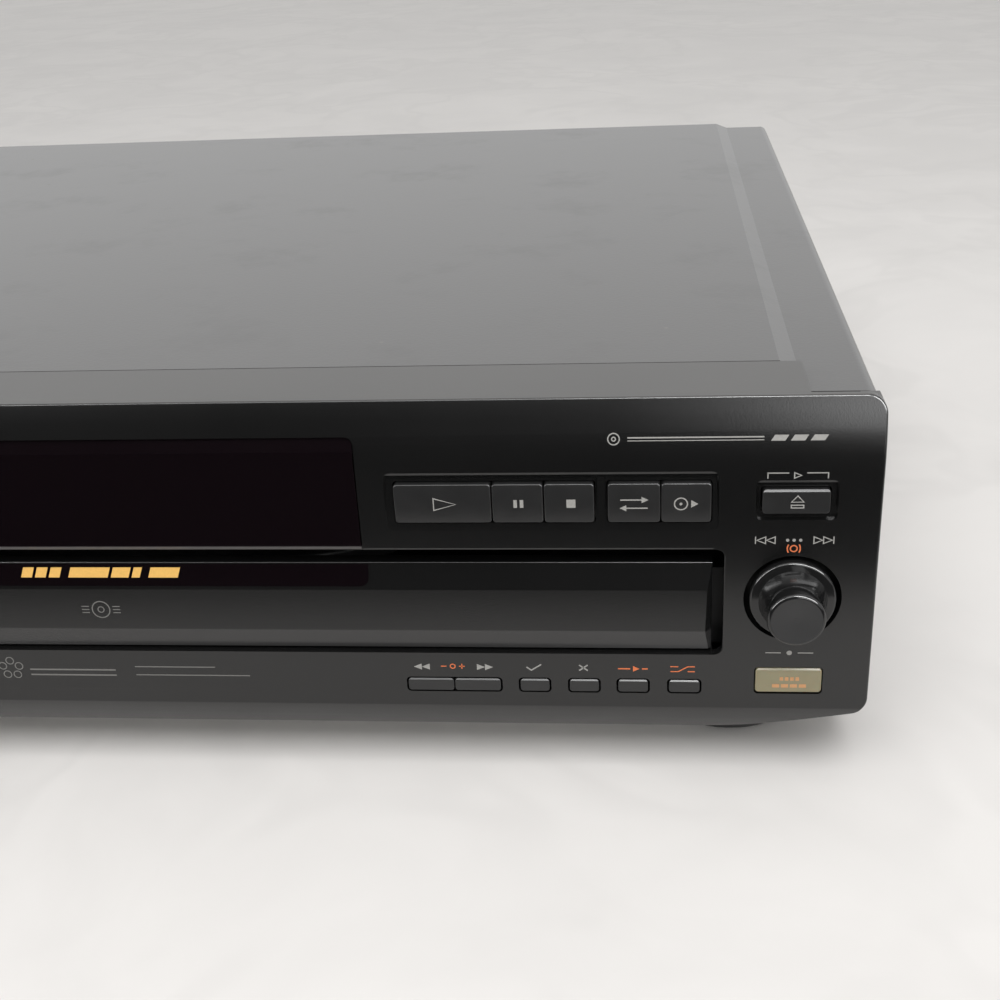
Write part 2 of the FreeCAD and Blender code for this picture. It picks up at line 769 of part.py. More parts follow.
def front_panel():
    """The moulded front with its window, drawer mouth, key holes and shallow recesses."""
    shell = cut("panel_shell", panel_solid("panel_outer", 0.0, COVER_FRONT),
                panel_solid("panel_inner", s.panel_thick.value, COVER_FRONT + 1.0))
    lip = box("panel_lip", (-s.lip_half, s.lip_half), (FRONT + s.brow_back + 1.0, FRONT + s.lip_deep),
              (s.cabinet_tall - 2.5, s.cabinet_tall))
    skin = soften("panel_skin", joggled(fuse("panel_whole", shell, lip)), 0.7, is_front_rim)
    through = [
        rounded((-s.mouth_half, s.mouth_half), (s.mouth_low, s.mouth_high), 2.6),
        rounded((-s.window_half, s.window_half), (s.mouth_high - 3.0, s.window_high), 2.4),
        key_hole(86.5, 140.1, s.key_low, s.key_high),
        key_hole(143.7, 170.8, s.key_low, s.key_high),
        key_hole(-170.8, -86.5, s.key_low, s.key_high),
        key_hole(s.eject_left, s.eject_right, s.eject_low, s.eject_high),
        key_hole(-s.eject_right, -s.eject_left, s.eject_low, s.eject_high),
        rounded((s.lit_left - s.key_gap, s.lit_right + s.key_gap), (s.lit_low - 0.85, s.lit_high + 0.25), 1.2),
        small_hole(85.9, 112.5),
        (s.knob_across, s.knob_high, s.knob_hole),
        (LEVEL_X, s.knob_high, s.level_radius + 0.6),
        (PHONES_X, PHONES_Z, 6.0),
    ]
    through += [small_hole(left, right) for _, left, right in SMALL_KEYS[2:]]
    holes = prisms("panel_holes", "XZ", (FRONT - 1.0, COVER_FRONT + 1.0), *through)
    recesses = [
        recess("main_recess", 83.8, 172.8, 78.5, 94.85, 2.0, 15.0, 0.6),
        recess("mode_recess", -172.8, -83.8, 78.5, 94.85, 2.0, 15.0, 0.6),
        recess("eject_recess", 182.4, 203.6, 81.3, 92.2, 1.6, 0.4, 0.5),
        recess("power_recess", -203.6, -182.4, 81.3, 92.2, 1.6, 0.4, 0.5),
    ]
    post = box("panel_post", (140.9, 142.9), (FRONT + 0.4, PANEL_BACK), (s.key_low - 1.0, s.key_high + 1.0))
    shelf = box("mouth_shelf", (2.6 - s.mouth_half, s.mouth_half - 2.6), (FRONT + 2.4, FRONT + 8.2),
                (s.mouth_low - 1.4, s.mouth_low))
    keep(fuse("panel", cut("panel_cut", skin, *holes, *recesses, *mouth_flare()), post, shelf), "front_panel")


def is_front_rim(edge):
    """The panel's outer rim: where its front face turns into its sides."""
    half = s.cabinet_wide.value / 2
    front = FRONT.value
    points = edge_points(edge)
    on_face = all(point.y < front + 6.2 for point in points)
    on_side = all(abs(abs(point.x) - half) < 0.01 for point in points)
    return on_face and on_side and edge.Length > 5.0


def display_window():
    """The dark window: flat, with a bevel along its top edge and a small one along its lower edge."""
    half = s.window_half - 0.25
    front = FRONT - 0.15
    low = s.window_low
    high = s.window_high - 0.25
    profile = [
        (front + 0.9, low), (front, low + 1.25), (front, high - s.window_bevel),
        (front + 2.0, high), (front + 3.6, high), (front + 3.6, low),
    ]
    along = prism("window_profile", "YZ", (-half, half), profile)
    across = prism("window_outline", "XZ", (FRONT - 2.0, FRONT + 6.0),
                   rounded((-half, half), (low - 6.0, high), 2.2))
    keep(common("window", along, across), "display_window")


def display_tube():
    tube = box("tube_glass", (-62.0, 62.0), (FRONT + 5.0, FRONT + 10.5), (78.0, 101.0))
    pins = [rod(f"tube_pin_{index}", 0.35, 3.4, -54.0 + 12.0 * index, FRONT + 9.0, 75.0) for index in range(10)]
    keep(fuse("tube", tube, *pins), "fluorescent_display")


def front_boards():
    """The circuit boards behind the panel, with the switches that the keys press."""
    board_back = KEY_BACK + 1.6
    upper = box("upper_board", (-208.0, 208.0), (KEY_BACK, board_back), (75.0, 108.0))
    tail = box("knob_board", (178.0, 208.0), (KEY_BACK, board_back), (42.0, 75.0))
    lower = box("lower_board", (80.0, 208.0), (KEY_BACK, board_back), (15.0, 38.0))
    solids = [fuse("upper_boards", upper, tail, *switches("upper", [
        ((left + right) / 2, 86.5) for _, left, right in MAIN_KEYS + MODE_KEYS] + [
        (192.75, 86.5), (-192.75, 86.5)]))]
    solids.append(fuse("lower_boards", lower, *switches("lower", [
        ((left + right) / 2, 29.0) for _, left, right in SMALL_KEYS] + [(192.85, 31.35)])))
    keep(group("boards_group", *solids), "front_boards")


def switches(name, spots):
    return [box(f"{name}_switch_{index}", (x - 2.2, x + 2.2), (KEY_BACK - 2.5, KEY_BACK), (z - 2.2, z + 2.2))
            for index, (x, z) in enumerate(spots)]


def push_key(label, across, up, stand, radius, edge, crown=0.0, bevel=0.0):
    """One key: a cap in its hole, a flange that stops it behind the panel and a stem to its switch.

    The cap's face is crowned from top to bottom, or flat with a bevel along its top.
    """
    face = FRONT + stand
    back = PANEL_BACK + 1.5
    left, right = as_size(across[0]), as_size(across[1])
    low, high = up
    middle_x = (left + right) / 2
    middle_z = (low + high) / 2
    cap = prism(label + "_cap", "XZ", (face, back), rounded((left, right), (low, high), radius))
    if crown:
        line = [(face + crown, low), Arc((face, middle_z), (face + crown, high)), (back, high), (back, low)]
    else:
        line = [(face, low), (face, high - bevel), (face + bevel, high), (back, high), (back, low)]
    side = prism(label + "_side", "YZ", (left - 1.0, right + 1.0), line)
    rim = lies_at("y", face, crown + 0.01)
    soft = soften(label + "_soft", common(label + "_block", cap, side), edge, rim)
    flange = box(label + "_flange", (left, right), (PANEL_BACK + 0.2, back), (low - 0.9, high + 0.9))
    stem_end = KEY_BACK - 2.5 - s.key_travel - 0.3
    stem = box(label + "_stem", (middle_x - 1.5, middle_x + 1.5), (PANEL_BACK, stem_end),
               (middle_z - 1.2, middle_z + 1.2))
    keep(fuse(label + "_whole", soft, flange, stem), label)


def keys():
    for label, left, right in MAIN_KEYS + MODE_KEYS:
        push_key(label, (left, right), (s.key_low, s.key_high), -0.9, 0.9, 0.35, crown=0.35)
    for label, left, right in SMALL_KEYS:
        push_key(label, (left, right), (s.small_low, s.small_high), -0.15, 0.9, 0.25, bevel=0.4)
    eject_up = (s.eject_low, s.eject_high)
    push_key("open_close_button", (s.eject_left, s.eject_right), eject_up, -0.6, 1.0, 0.25, bevel=0.5)
    push_key("power_button", (-s.eject_right, -s.eject_left), eject_up, -0.6, 1.0, 0.25, bevel=0.5)
    push_key("lit_button", (s.lit_left, s.lit_right), (s.lit_low, s.lit_high), -0.5, 1.0, 0.3, bevel=0.4)


def jog():
    """The jog knob turns on a shaft, and knob and shaft push in together."""
    skirt = s.jog_radius
    cap = s.jog_cap
    out = s.knob_stand_out
    knob = turned("jog_knob", [
        (1.55, -2.4), (skirt - 1.2, -2.4), (skirt, -1.6), (skirt, 0.7), Arc((skirt - 0.25, 1.25), (skirt - 0.8, 1.5)),
        (skirt - 2.4, 1.6), Arc((cap + 0.7, 3.1), (cap, 6.2)), (cap, out - 1.0),
        Arc((cap - 0.3, out - 0.3), (cap - 1.0, out)),
        (1.0, out - 0.35), (0.0, out - 0.35), (0.0, out - 1.9), (1.55, out - 1.9)],
        s.knob_across, FRONT, s.knob_high, FORWARD)
    keep(knob, "jog_knob")
    shaft = turned("jog_shaft", [
        (0.0, -8.2), (5.5, -8.2), (5.5, -4.2), (1.5, -4.2), (1.5, out - 2.4), (0.0, out - 2.4)],
        s.knob_across, FRONT, s.knob_high, FORWARD)
    keep(shaft, "jog_shaft")


def level_knob():
    """The headphone level knob, with a pointer line on its face."""
    wide = s.level_radius
    blank = turned("level_blank", [
        (0.0, -6.0), (2.5, -6.0), (2.5, -3.0), (wide, -3.0), (wide, 6.4), Arc((wide - 0.3, 7.1), (wide - 1.0, 7.4)),
        (0.0, 7.4)], LEVEL_X, FRONT, s.knob_high, FORWARD)
    mark = box("level_mark", (LEVEL_X - 0.4, LEVEL_X + 0.4), (FRONT - 7.6, FRONT - 7.0),
               (s.knob_high + 2.4, s.knob_high + wide + 1.0))
    keep(cut("level", blank, mark), "level_knob")


def headphone_jack():
    jack = turned("phones", [
        (3.2, -12.0), (5.8, -12.0), (5.8, -3.0), (5.8, 0.4), (5.4, 0.9), (4.4, 0.9), (3.2, 0.2)],
        PHONES_X, FRONT, PHONES_Z, FORWARD)
    keep(jack, "headphone_jack")


# ---------------------------------------------------------------- drawer and carousel

RACK_X = -151.0
GEAR_BACK = -145.0
TABLE_SHAFT_X = -(60.0 + 12.0 + 0.12)
TABLE_MOTOR_X = -112.0
BELT_LOW = 40.4
BELT_HIGH = 42.4


def tray():
    """The drawer: a floor with side walls, open at the back for the pickup unit, with its rack below."""
    half = s.drawer_half
    front = FRONT + 6.8
    floor_top = s.floor_low + s.floor_thick
    floor = box("tray_floor", (-half, half), (front, s.drawer_back), (s.floor_low, floor_top))
    walls = [
        box("tray_wall_left", (-half, 3.0 - half), (front, s.drawer_back), (41.5, s.wall_high)),
        box("tray_wall_right", (half - 3.0, half), (front, s.drawer_back), (41.5, s.wall_high)),
        box("tray_front", (-half, half), (front, front + 2.5), (s.floor_low, s.wall_high)),
    ]
    corners = prisms("tray_corners", "XY", (s.floor_low, s.wall_high),
                     [(-half, front), (-half + 60.0, front), (-half, front + 60.0)],
                     [(half, front), (half - 60.0, front), (half, front + 60.0)])
    open_round = rod("tray_round", s.carousel_radius + 2.0, 40.0, 0.0, s.carousel_back, floor_top - 0.01)
    floor_open = box("tray_opening", (-40.0, 40.0), (55.0, s.drawer_back + 1.0), (40.0, 50.0))
    motor_hole = rod("tray_motor_hole", 2.6, 10.0, TABLE_MOTOR_X, s.carousel_back, 40.0)
    shaft_hole = rod("tray_shaft_hole", 3.0 + s.running_gap, 10.0, TABLE_SHAFT_X, s.carousel_back, 40.0)
    solid = cut("tray_solid", fuse("tray_blank", floor, *walls, *corners), open_round, floor_open,
                motor_hole, shaft_hole)
    boss = rod("tray_boss", 9.0, 3.0, 0.0, s.carousel_back, floor_top - 0.5)
    pin = rod("tray_pin", s.pin_radius, 16.0, 0.0, s.carousel_back, floor_top - 0.5)
    teeth = rack("tray_rack", s.gear_module.value, 50, (40.3, s.floor_low + 0.2), (RACK_X, GEAR_BACK - 9.4), 7.0, 1)
    keep(fuse("tray_whole", solid, boss, pin, teeth), "tray")


def tray_door():
    """The door on the drawer's front: three long facets with slanting ends."""
    back = FRONT + s.door_thick
    rim = FRONT + 2.75
    half = s.door_half
    profile = [
        (rim, s.door_high), (FRONT + 1.4, 59.2), (FRONT + 1.0, 46.6), (FRONT + 2.0, s.door_low),
        (back, s.door_low), (back, s.door_high),
    ]
    along = prism("door_profile", "YZ", (-half, half), profile)
    plan = prism("door_plan", "XY", (s.door_low, s.door_high), [
        (2.75 - half, FRONT), (half - 2.75, FRONT), (half, rim), (half, back), (-half, back), (-half, rim)])
    door = soften("door_soft", common("door", along, plan), 0.3, is_door_rim)
    keep(door, "tray_door")


def is_door_rim(edge):
    """The door's front edge along its top."""
    points = edge_points(edge)
    rim, top = (FRONT + 2.75).value, s.door_high.value
    return all(abs(point.y - rim) < 0.01 and abs(point.z - top) < 0.01 for point in points)


def tray_rails():
    """Two channels that carry the drawer's sides."""
    span = (FRONT + 8.4, 160.0)
    low_span = (FRONT + 20.0, 160.0)
    rails = []
    for name, side in (("left", -1), ("right", 1)):
        web = sorted((side * 172.0, side * 175.0))
        ledge = sorted((side * 161.0, side * 173.0))
        lip = sorted((side * 164.0, side * 173.0))
        foot = sorted((side * 172.0, side * 190.0))
        rails.append(fuse(
            "rail_" + name,
            box(f"rail_{name}_web", web, span, (38.6, 62.6)),
            box(f"rail_{name}_wall", web, low_span, (PAN_TOP, 40.0)),
            box(f"rail_{name}_ledge", ledge, span, (38.6, 41.2)),
            box(f"rail_{name}_lip", lip, span, (60.4, 62.6)),
            box(f"rail_{name}_foot", foot, low_span, (PAN_TOP, PAN_TOP + 2.5))))
    keep(group("rails_group", *rails), "tray_rails")


def wells(name, radius, low):
    """Five round wells spaced evenly about the carousel's axis."""
    made = []
    for place_number in range(5):
        angle = math.radians(90.0 + 72.0 * place_number)
        made.append(rod(f"{name}_{place_number}", radius, 10.0, s.well_ring * math.cos(angle),
                        s.carousel_back + s.well_ring * math.sin(angle), low))
    return made


def carousel():
    """The five-place carousel: wells, slots for the pickup, and the ring gear that turns it."""
    top = s.carousel_high
    low = s.carousel_low
    y = s.carousel_back
    blank = soften("carousel_blank", rod("carousel_disc", s.carousel_radius, top - low, 0.0, y, low), 1.0,
                   lies_at("z", top))
    well_floor = top - s.well_deep
    slots = []
    for place_number in range(5):
        angle = 90.0 + 72.0 * place_number
        slot = prism(f"carousel_slot_{place_number}", "XY", (low - 1.0, top + 1.0), [
            (s.carousel_radius - s.well_ring + 4.0, -s.slot_wide / 2),
            (s.carousel_radius - s.well_ring + 4.0, s.slot_wide / 2),
            (0.0, s.slot_wide / 2),
            Arc((-s.slot_wide / 2, 0.0), (0.0, -s.slot_wide / 2)),
        ])
        angle_rad = math.radians(angle)
        turned_slot = doc.addObject("Part::Compound", f"carousel_slot_at_{place_number}")
        turned_slot.Links = [slot]
        place(turned_slot, s.well_ring * math.cos(angle_rad), y + s.well_ring * math.sin(angle_rad), 0.0,
              (FreeCAD.Vector(0, 0, 1), angle))
        slots.append(turned_slot)
    dish = rod("carousel_dish", 30.0, 10.0, 0.0, y, top - 0.8)
    plate = cut("carousel_plate", blank, *wells("carousel_well", s.well_radius, well_floor),
                *wells("carousel_small_well", 41.0, well_floor - 0.6), dish, *slots)
    hub = rod("carousel_hub", 12.0, top - 48.6, 0.0, y, 48.6)
    ring = cut("carousel_ring", gear("carousel_teeth", s.ring_teeth, s.gear_module, (49.3, low + 0.2), 0.0, 0.0, y),
               rod("carousel_ring_inside", 50.0, 12.0, 0.0, y, 48.0))
    bore = rod("carousel_bore", s.pin_radius + s.running_gap, 20.0, 0.0, y, 45.0)
    keep(cut("carousel_whole", fuse("carousel_solid", plate, hub, ring), bore), "carousel")


def table_drive():
    """The motor, belt and gear on the drawer that turn the carousel."""
    y = s.carousel_back
    floor_top = s.floor_low + s.floor_thick
    half_pitch = 180.0 / s.table_teeth.value
    teeth = gear("table_gear_teeth", s.table_teeth, s.gear_module, (49.5, 54.6), half_pitch, TABLE_SHAFT_X, y)
    shaft = rod("table_gear_shaft", 3.0, 54.6 - BELT_LOW, TABLE_SHAFT_X, y, BELT_LOW)
    collar = rod("table_gear_collar", 5.0, 49.6 - floor_top - 0.2, TABLE_SHAFT_X, y, floor_top + 0.2)
    pulley = rod("table_gear_pulley", 12.0, BELT_HIGH - BELT_LOW, TABLE_SHAFT_X, y, BELT_LOW)
    keep(fuse("table_gear", teeth, shaft, collar, pulley), "carousel_gear")
    motor = fuse("table_motor", rod("table_motor_can", 11.0, 8.2, TABLE_MOTOR_X, y, floor_top),
                 rod("table_motor_boss", 2.5, 1.5, TABLE_MOTOR_X, y, floor_top - 1.5))
    motor_bore = rod("table_motor_bore", 1.0 + s.running_gap, 7.0, TABLE_MOTOR_X, y, floor_top - 2.0)
    keep(cut("table_motor_whole", motor, motor_bore), "carousel_motor")
    pin = rod("table_pulley_shaft", 1.0, 50.0 - BELT_LOW, TABLE_MOTOR_X, y, BELT_LOW)
    small = rod("table_pulley_rim", 4.0, BELT_HIGH - BELT_LOW, TABLE_MOTOR_X, y, BELT_LOW)
    keep(fuse("table_pulley", pin, small), "carousel_motor_pulley")
    keep(belt("table_belt", (TABLE_SHAFT_X, y, 12.0), (TABLE_MOTOR_X, y, 4.0), (BELT_LOW + 0.3, BELT_HIGH - 0.3)),
         "carousel_belt")


def belt(name, big, small, z):
    """A flat belt round two pulleys, which clears them by the running space of a curved face."""
    loops = []
    for extra in (0.3, 1.3):
        loops.append(belt_loop(big, small, extra))
    return prism(name, "XY", z, *loops)


def belt_loop(big, small, extra):
    """The outline of a belt: two straight runs that touch both circles, and the two arcs."""
    (bx, by, br), (sx, sy, sr) = [[as_size(v).value for v in wheel] for wheel in (big, small)]
    apart = math.hypot(sx - bx, sy - by)
    aim = math.atan2(sy - by, sx - bx)
    lean = math.acos((br - sr) / apart)

    def on(x, y, radius, angle):
        return (x + radius * math.cos(angle), y + radius * math.sin(angle))

    big_r, small_r = br + extra, sr + extra
    return [
        on(sx, sy, small_r, aim - lean),
        Arc(on(sx, sy, small_r, aim), on(sx, sy, small_r, aim + lean)),
        on(bx, by, big_r, aim + lean),
        Arc(on(bx, by, big_r, aim + math.pi), on(bx, by, big_r, aim - lean)),
    ]


LOAD_X = RACK_X + 12.0 + 0.12
LOAD_MOTOR_X = -92.0


def loading_drive():
    """The motor, belt and gear on the chassis that move the drawer."""
    y = GEAR_BACK
    teeth = gear("load_gear_teeth", s.load_teeth, s.gear_module, (38.4, 42.7), 0.0, LOAD_X, y)
    body = rod("load_gear_body", 7.0, 9.0, LOAD_X, y, 30.2)
    pulley = rod("load_gear_pulley", 18.0, 3.0, LOAD_X, y, 31.0)
    bore = rod("load_gear_bore", 3.0 + s.running_gap, 20.0, LOAD_X, y, 28.0)
    keep(cut("load_gear", fuse("load_gear_solid", teeth, body, pulley), bore), "loading_gear")
    motor = rod("load_motor_can", 11.5, 15.6, LOAD_MOTOR_X, y, 13.0)
    boss = rod("load_motor_boss", 3.0, 1.4, LOAD_MOTOR_X, y, 28.6)
    motor_bore = rod("load_motor_bore", 1.0 + s.running_gap, 10.0, LOAD_MOTOR_X, y, 22.0)
    keep(cut("load_motor", fuse("load_motor_solid", motor, boss), motor_bore), "loading_motor")
    keep(fuse("load_pulley", rod("load_pulley_rim", 4.5, 3.0, LOAD_MOTOR_X, y, 31.0),
              rod("load_pulley_shaft", 1.0, 11.0, LOAD_MOTOR_X, y, 23.0)), "loading_motor_pulley")
    keep(belt("load_belt", (LOAD_X, y, 18.0), (LOAD_MOTOR_X, y, 4.5), (31.4, 33.6)), "loading_belt")


# ---------------------------------------------------------------- pickup unit and its lift

BRACKET_IN = 39.0
BRACKET_OUT = 43.0
CAM_X = 20.0
CAM_PITCH_BACK = 56.0
CAM_TEETH = 20
CAM_Z = (22.2, 25.8)


def mechanism_frame():
    """The moulded frame on the pan: posts for the gears, the pickup unit's bearings and the cam's guide."""
    floor = (PAN_TOP, PAN_TOP + 2.0)
    plate = prism("frame_plate", "XY", floor, [
        (-158.0, -164.0), (-60.0, -164.0), (-60.0, 34.0), (75.0, 34.0),
        (75.0, 178.0), (-75.0, 178.0), (-75.0, -110.0), (-158.0, -110.0)])
    pieces = [plate]
    pieces.append(rod("frame_load_post", 6.0, 18.0, LOAD_X, GEAR_BACK, 12.0))
    pieces.append(rod("frame_load_pin", 3.0, 30.0, LOAD_X, GEAR_BACK, 12.0))
    pieces.append(rod("frame_cam_post", 5.0, 9.8, CAM_X, CAM_AXIS_BACK, 12.0))
    pieces.append(rod("frame_cam_pin", 2.0, 14.6, CAM_X, CAM_AXIS_BACK, 12.0))
    for name, side in (("left", -1), ("right", 1)):
        ear = box(f"frame_ear_{name}", sorted((side * BRACKET_IN, side * BRACKET_OUT)),
                  (s.pivot_back - 3.4, s.pivot_back + 4.0), (12.0, s.pivot_high + 4.0))
        pieces.append(ear)
    pieces.append(box("frame_cam_floor", (-70.0, 62.0), (54.8, 61.4), (12.0, 21.8)))
    pieces.append(box("frame_cam_wall", (-70.0, 62.0), (59.4, 61.4), (12.0, 26.0)))
    pieces.append(box("frame_cam_stop", (-66.0, -20.0), (54.8, 56.6), (12.0, 26.0)))
    bearing = rod("frame_bearing", 2.0 + s.running_gap, 100.0, -50.0, s.pivot_back, s.pivot_high, RIGHT)
    keep(cut("frame_whole", fuse("frame_solid", *pieces), bearing), "mechanism_frame")


CAM_AXIS_BACK = CAM_PITCH_BACK - CAM_TEETH / 2.0 - 0.12


def lowered(item):
    """Turn a level piece of the pickup unit down about its pivot, as it lies with the drawer free."""
    holder = doc.addObject("Part::Compound", item.Name + "_lowered")
    holder.Links = [item]
    centre = FreeCAD.Vector(0.0, s.pivot_back.value, s.pivot_high.value)
    rotation = FreeCAD.Rotation(FreeCAD.Vector(1, 0, 0), s.lower_angle.value)
    holder.Placement = FreeCAD.Placement(FreeCAD.Vector(), rotation, centre)
    return holder


def pickup_base():
    """The pickup unit's plate, drawn level: hinge pins at the back and the cam's pin at the front."""
    top = 47.0
    plate = box("base_plate", (-36.0, 36.0), (62.0, 176.0), (44.5, top))
    window = box("base_window", (-13.0, 14.0), (113.0, 168.0), (43.0, 48.0))
    shaft_hole = rod("base_shaft_hole", 3.0, 6.0, 0.0, DISC_BACK, 43.0)
    ribs = [
        box("base_rib_left", (-36.0, -34.2), (62.0, 176.0), (40.0, top)),
        box("base_rib_right", (34.2, 36.0), (62.0, 176.0), (40.0, top)),
        box("base_block_near", (16.0, 23.0), (98.0, 101.5), (46.0, 53.0)),
        box("base_block_far", (16.0, 23.0), (168.5, 172.0), (46.0, 53.0)),
        rod("base_hinge_left", 2.0, 8.0, -43.0, s.pivot_back, s.pivot_high, RIGHT),
        rod("base_hinge_right", 2.0, 8.0, 35.0, s.pivot_back, s.pivot_high, RIGHT),
        rod("base_cam_pin", 2.0, 7.0, 0.0, 56.0, 46.0, BACK),
        rod("base_gear_pin", 1.5, 6.0, FEED_X, FEED_BACK, 46.5),
    ]
    rod_hole = rod("base_rod_hole", 1.5, 80.0, 19.5, 95.0, 50.6, BACK)
    solid = cut("base_solid", fuse("base_blank", cut("base_cut", plate, window, shaft_hole), *ribs), rod_hole)
    keep(lowered(solid), "pickup_base")


FEED_X = -17.0 - 8.0 - 0.12
FEED_BACK = 138.5


def pickup_parts():
    """What rides on the pickup base, drawn level: spindle, sled, guide rod and feed gear."""
    keep(lowered(rod("sled_rod", 1.5, 74.0, 19.5, 98.0, 50.6, BACK)), "guide_rod")
    motor = turned("spindle_can", [
        (1.5 + s.running_gap, 36.5), (12.0, 36.5), (12.0, 43.6), (11.2, 44.4), (2.8, 44.4), (2.8, 46.6),
        (1.5 + s.running_gap, 46.6)], 0.0, DISC_BACK, 0.0)
    keep(lowered(motor), "spindle_motor")
    wide = s.platter_radius
    platter = turned("platter_turn", [
        (0.0, 38.0), (1.5, 38.0), (1.5, 50.0), (4.0, 50.0), (4.0, 57.0), (wide - 0.6, 57.0), (wide, 57.6),
        (wide, 59.4), (wide - 0.6, 60.0), (7.3, 60.0), (6.6, 61.4), (5.2, 62.3), (0.0, 62.3)],
        0.0, DISC_BACK, 0.0)
    keep(lowered(platter), "turntable")
    keep(lowered(sled()), "pickup_sled")
    teeth = gear("feed_gear_teeth", s.feed_teeth, s.feed_module, (49.3, 52.2), 0.0, FEED_X, FEED_BACK)
    hub = rod("feed_gear_hub", 4.0, 2.4, FEED_X, FEED_BACK, 47.3)
    bore = rod("feed_gear_bore", 1.5 + s.running_gap, 10.0, FEED_X, FEED_BACK, 45.0)
    keep(lowered(cut("feed_gear", fuse("feed_gear_solid", teeth, hub), bore)), "sled_gear")


def sled():
    """The optical sled with its lens, its bearing on the guide rod and its rack."""
    lens_back = DISC_BACK + 24.0
    body = box("sled_body", (-12.0, 17.0), (lens_back - 8.5, lens_back + 11.0), (47.6, 52.6))
    arm = box("sled_arm", (15.0, 23.0), (lens_back - 6.0, lens_back + 11.0), (48.0, 53.0))
    tongue = box("sled_tongue", (-15.0, -11.0), (102.0, 143.0), (49.4, 52.0))
    lens = turned("sled_lens", [
        (0.0, 52.0), (6.0, 52.0), (6.0, 54.6), (4.2, 55.6), (3.4, 55.6), (2.6, 55.2), (1.6, 55.7), (0.0, 55.7)],
        0.0, lens_back, 0.0)
    # the feed gear's tooth is centred on +X, so the rack has a gap there
    teeth = rack("sled_teeth", s.feed_module.value, 13, (49.4, 52.0), (-17.0, FEED_BACK - 11.0 * math.pi), 3.0, -1)
    bore = rod("sled_bore", 1.5 + s.running_gap, 40.0, 19.5, lens_back - 12.0, 50.6, BACK)
    return cut("sled_whole", fuse("sled_solid", body, arm, tongue, lens, teeth), bore)


def cam_slider():
    """The sliding cam: the sloping slot in its plate lifts the pickup unit's front pin."""
    lever = s.pivot_back - 58.0
    angle = math.radians(s.lower_angle.value)
    low = s.pivot_high - lever * math.sin(angle)
    high = s.pivot_high
    slope = math.atan2(high.value - low.value, s.lift_travel.value)
    gap = 2.0 + 0.45
    side_x, side_z = -gap * math.sin(slope), gap * math.cos(slope)
    run = s.lift_travel
    slot = [
        (0.0, low - gap), (-side_x, low - side_z), (run - side_x, high - side_z),
        (run + 1.5, high - gap), Arc((run + 1.5 + gap, high), (run + 1.5, high + gap)),
        (run, high + gap), (run + side_x, high + side_z), (side_x, low + side_z),
        (-2.0, low + gap), Arc((-2.0 - gap, low), (-2.0, low - gap)),
    ]
    plate = prism("cam_plate", "XZ", (57.0, 59.0), [
        (-40.0, 22.0), (57.0, 22.0), (57.0, 26.0), (50.0, 30.0), (37.0, 32.0), (37.0, 51.2), (22.0, 51.2),
        (-6.0, 38.0), (-12.0, 38.0), (-12.0, 28.0), (-20.0, 26.0), (-40.0, 26.0)], slot)
    points = cam_teeth()
    vertices = [FreeCAD.Vector(px, py, CAM_Z[0]) for px, py in points]
    teeth = doc.addObject("Part::Feature", "cam_teeth")
    teeth.Shape = Part.Face(Part.makePolygon(vertices + vertices[:1])).extrude(
        FreeCAD.Vector(0, 0, CAM_Z[1] - CAM_Z[0]))
    keep(fuse("cam_whole", plate, teeth), "cam_slider")


def cam_teeth():
    """The toothed edge of the cam slider: teeth point to -Y, with a gap centred on the cam gear."""
    step = math.pi
    half = step / 4.0 - s.gear_play.value / 4.0
    points = [(CAM_X + 11.5 * step, 57.4), (CAM_X - 2.0 * step, 57.4)]
    for tooth in range(-2, 11):
        middle = CAM_X + step * (tooth + 0.5)
        for height, side in ((-ROOT_FACTOR, -1), (TIP_FACTOR, -1), (TIP_FACTOR, 1), (-ROOT_FACTOR, 1)):
            points.append((middle + side * (half - height * math.tan(PRESSURE)), CAM_PITCH_BACK - height))
    return points


def cam_gear():
    # a tooth is centred on +Y, towards the slider
    teeth = gear("cam_gear_teeth", as_size(CAM_TEETH), as_size(1.0), CAM_Z, 90.0, CAM_X, CAM_AXIS_BACK)
    bore = rod("cam_gear_bore", 2.0 + s.running_gap, 10.0, CAM_X, CAM_AXIS_BACK, 20.0)
    keep(cut("cam_gear_whole", teeth, bore), "cam_gear")


def clamp_bridge():
    """The steel bridge over the playing place, which carries the disc clamper."""
    front, back = DISC_BACK - 20.5, DISC_BACK + 20.5
    top = box("bridge_top", (-181.2, 181.2), (front, back), (64.0, 65.2))
    pieces = [top]
    for name, side in (("left", -1), ("right", 1)):
        pieces.append(box(f"bridge_leg_{name}", sorted((side * 180.0, side * 181.2)), (front, back),
                          (PAN_TOP + 2.5, 65.0)))
        pieces.append(box(f"bridge_foot_{name}", sorted((side * 180.0, side * 190.0)), (front, back),
                          (PAN_TOP + 2.5, PAN_TOP + 3.7)))
    pieces.append(box("bridge_edge_near", (-178.0, 178.0), (front, front + 1.2), (65.0, 71.0)))
    pieces.append(box("bridge_edge_far", (-178.0, 178.0), (back - 1.2, back), (65.0, 71.0)))
    hole = rod("bridge_hole", 15.5, 10.0, 0.0, DISC_BACK, 60.0)
    keep(cut("bridge", fuse("bridge_solid", *pieces), hole), "clamp_bridge")
    clamper = turned("clamper_turn", [
        (0.0, 64.9), (8.4, 64.9), (8.4, 61.6), (14.0, 61.6), (14.0, 65.5), (18.4, 65.5), (18.4, 67.2),
        (17.6, 68.0), (6.0, 68.0), (5.0, 69.0), (0.0, 69.0)], 0.0, DISC_BACK, 0.0)
    keep(clamper, "disc_clamper")


# ---------------------------------------------------------------- electrics at the back

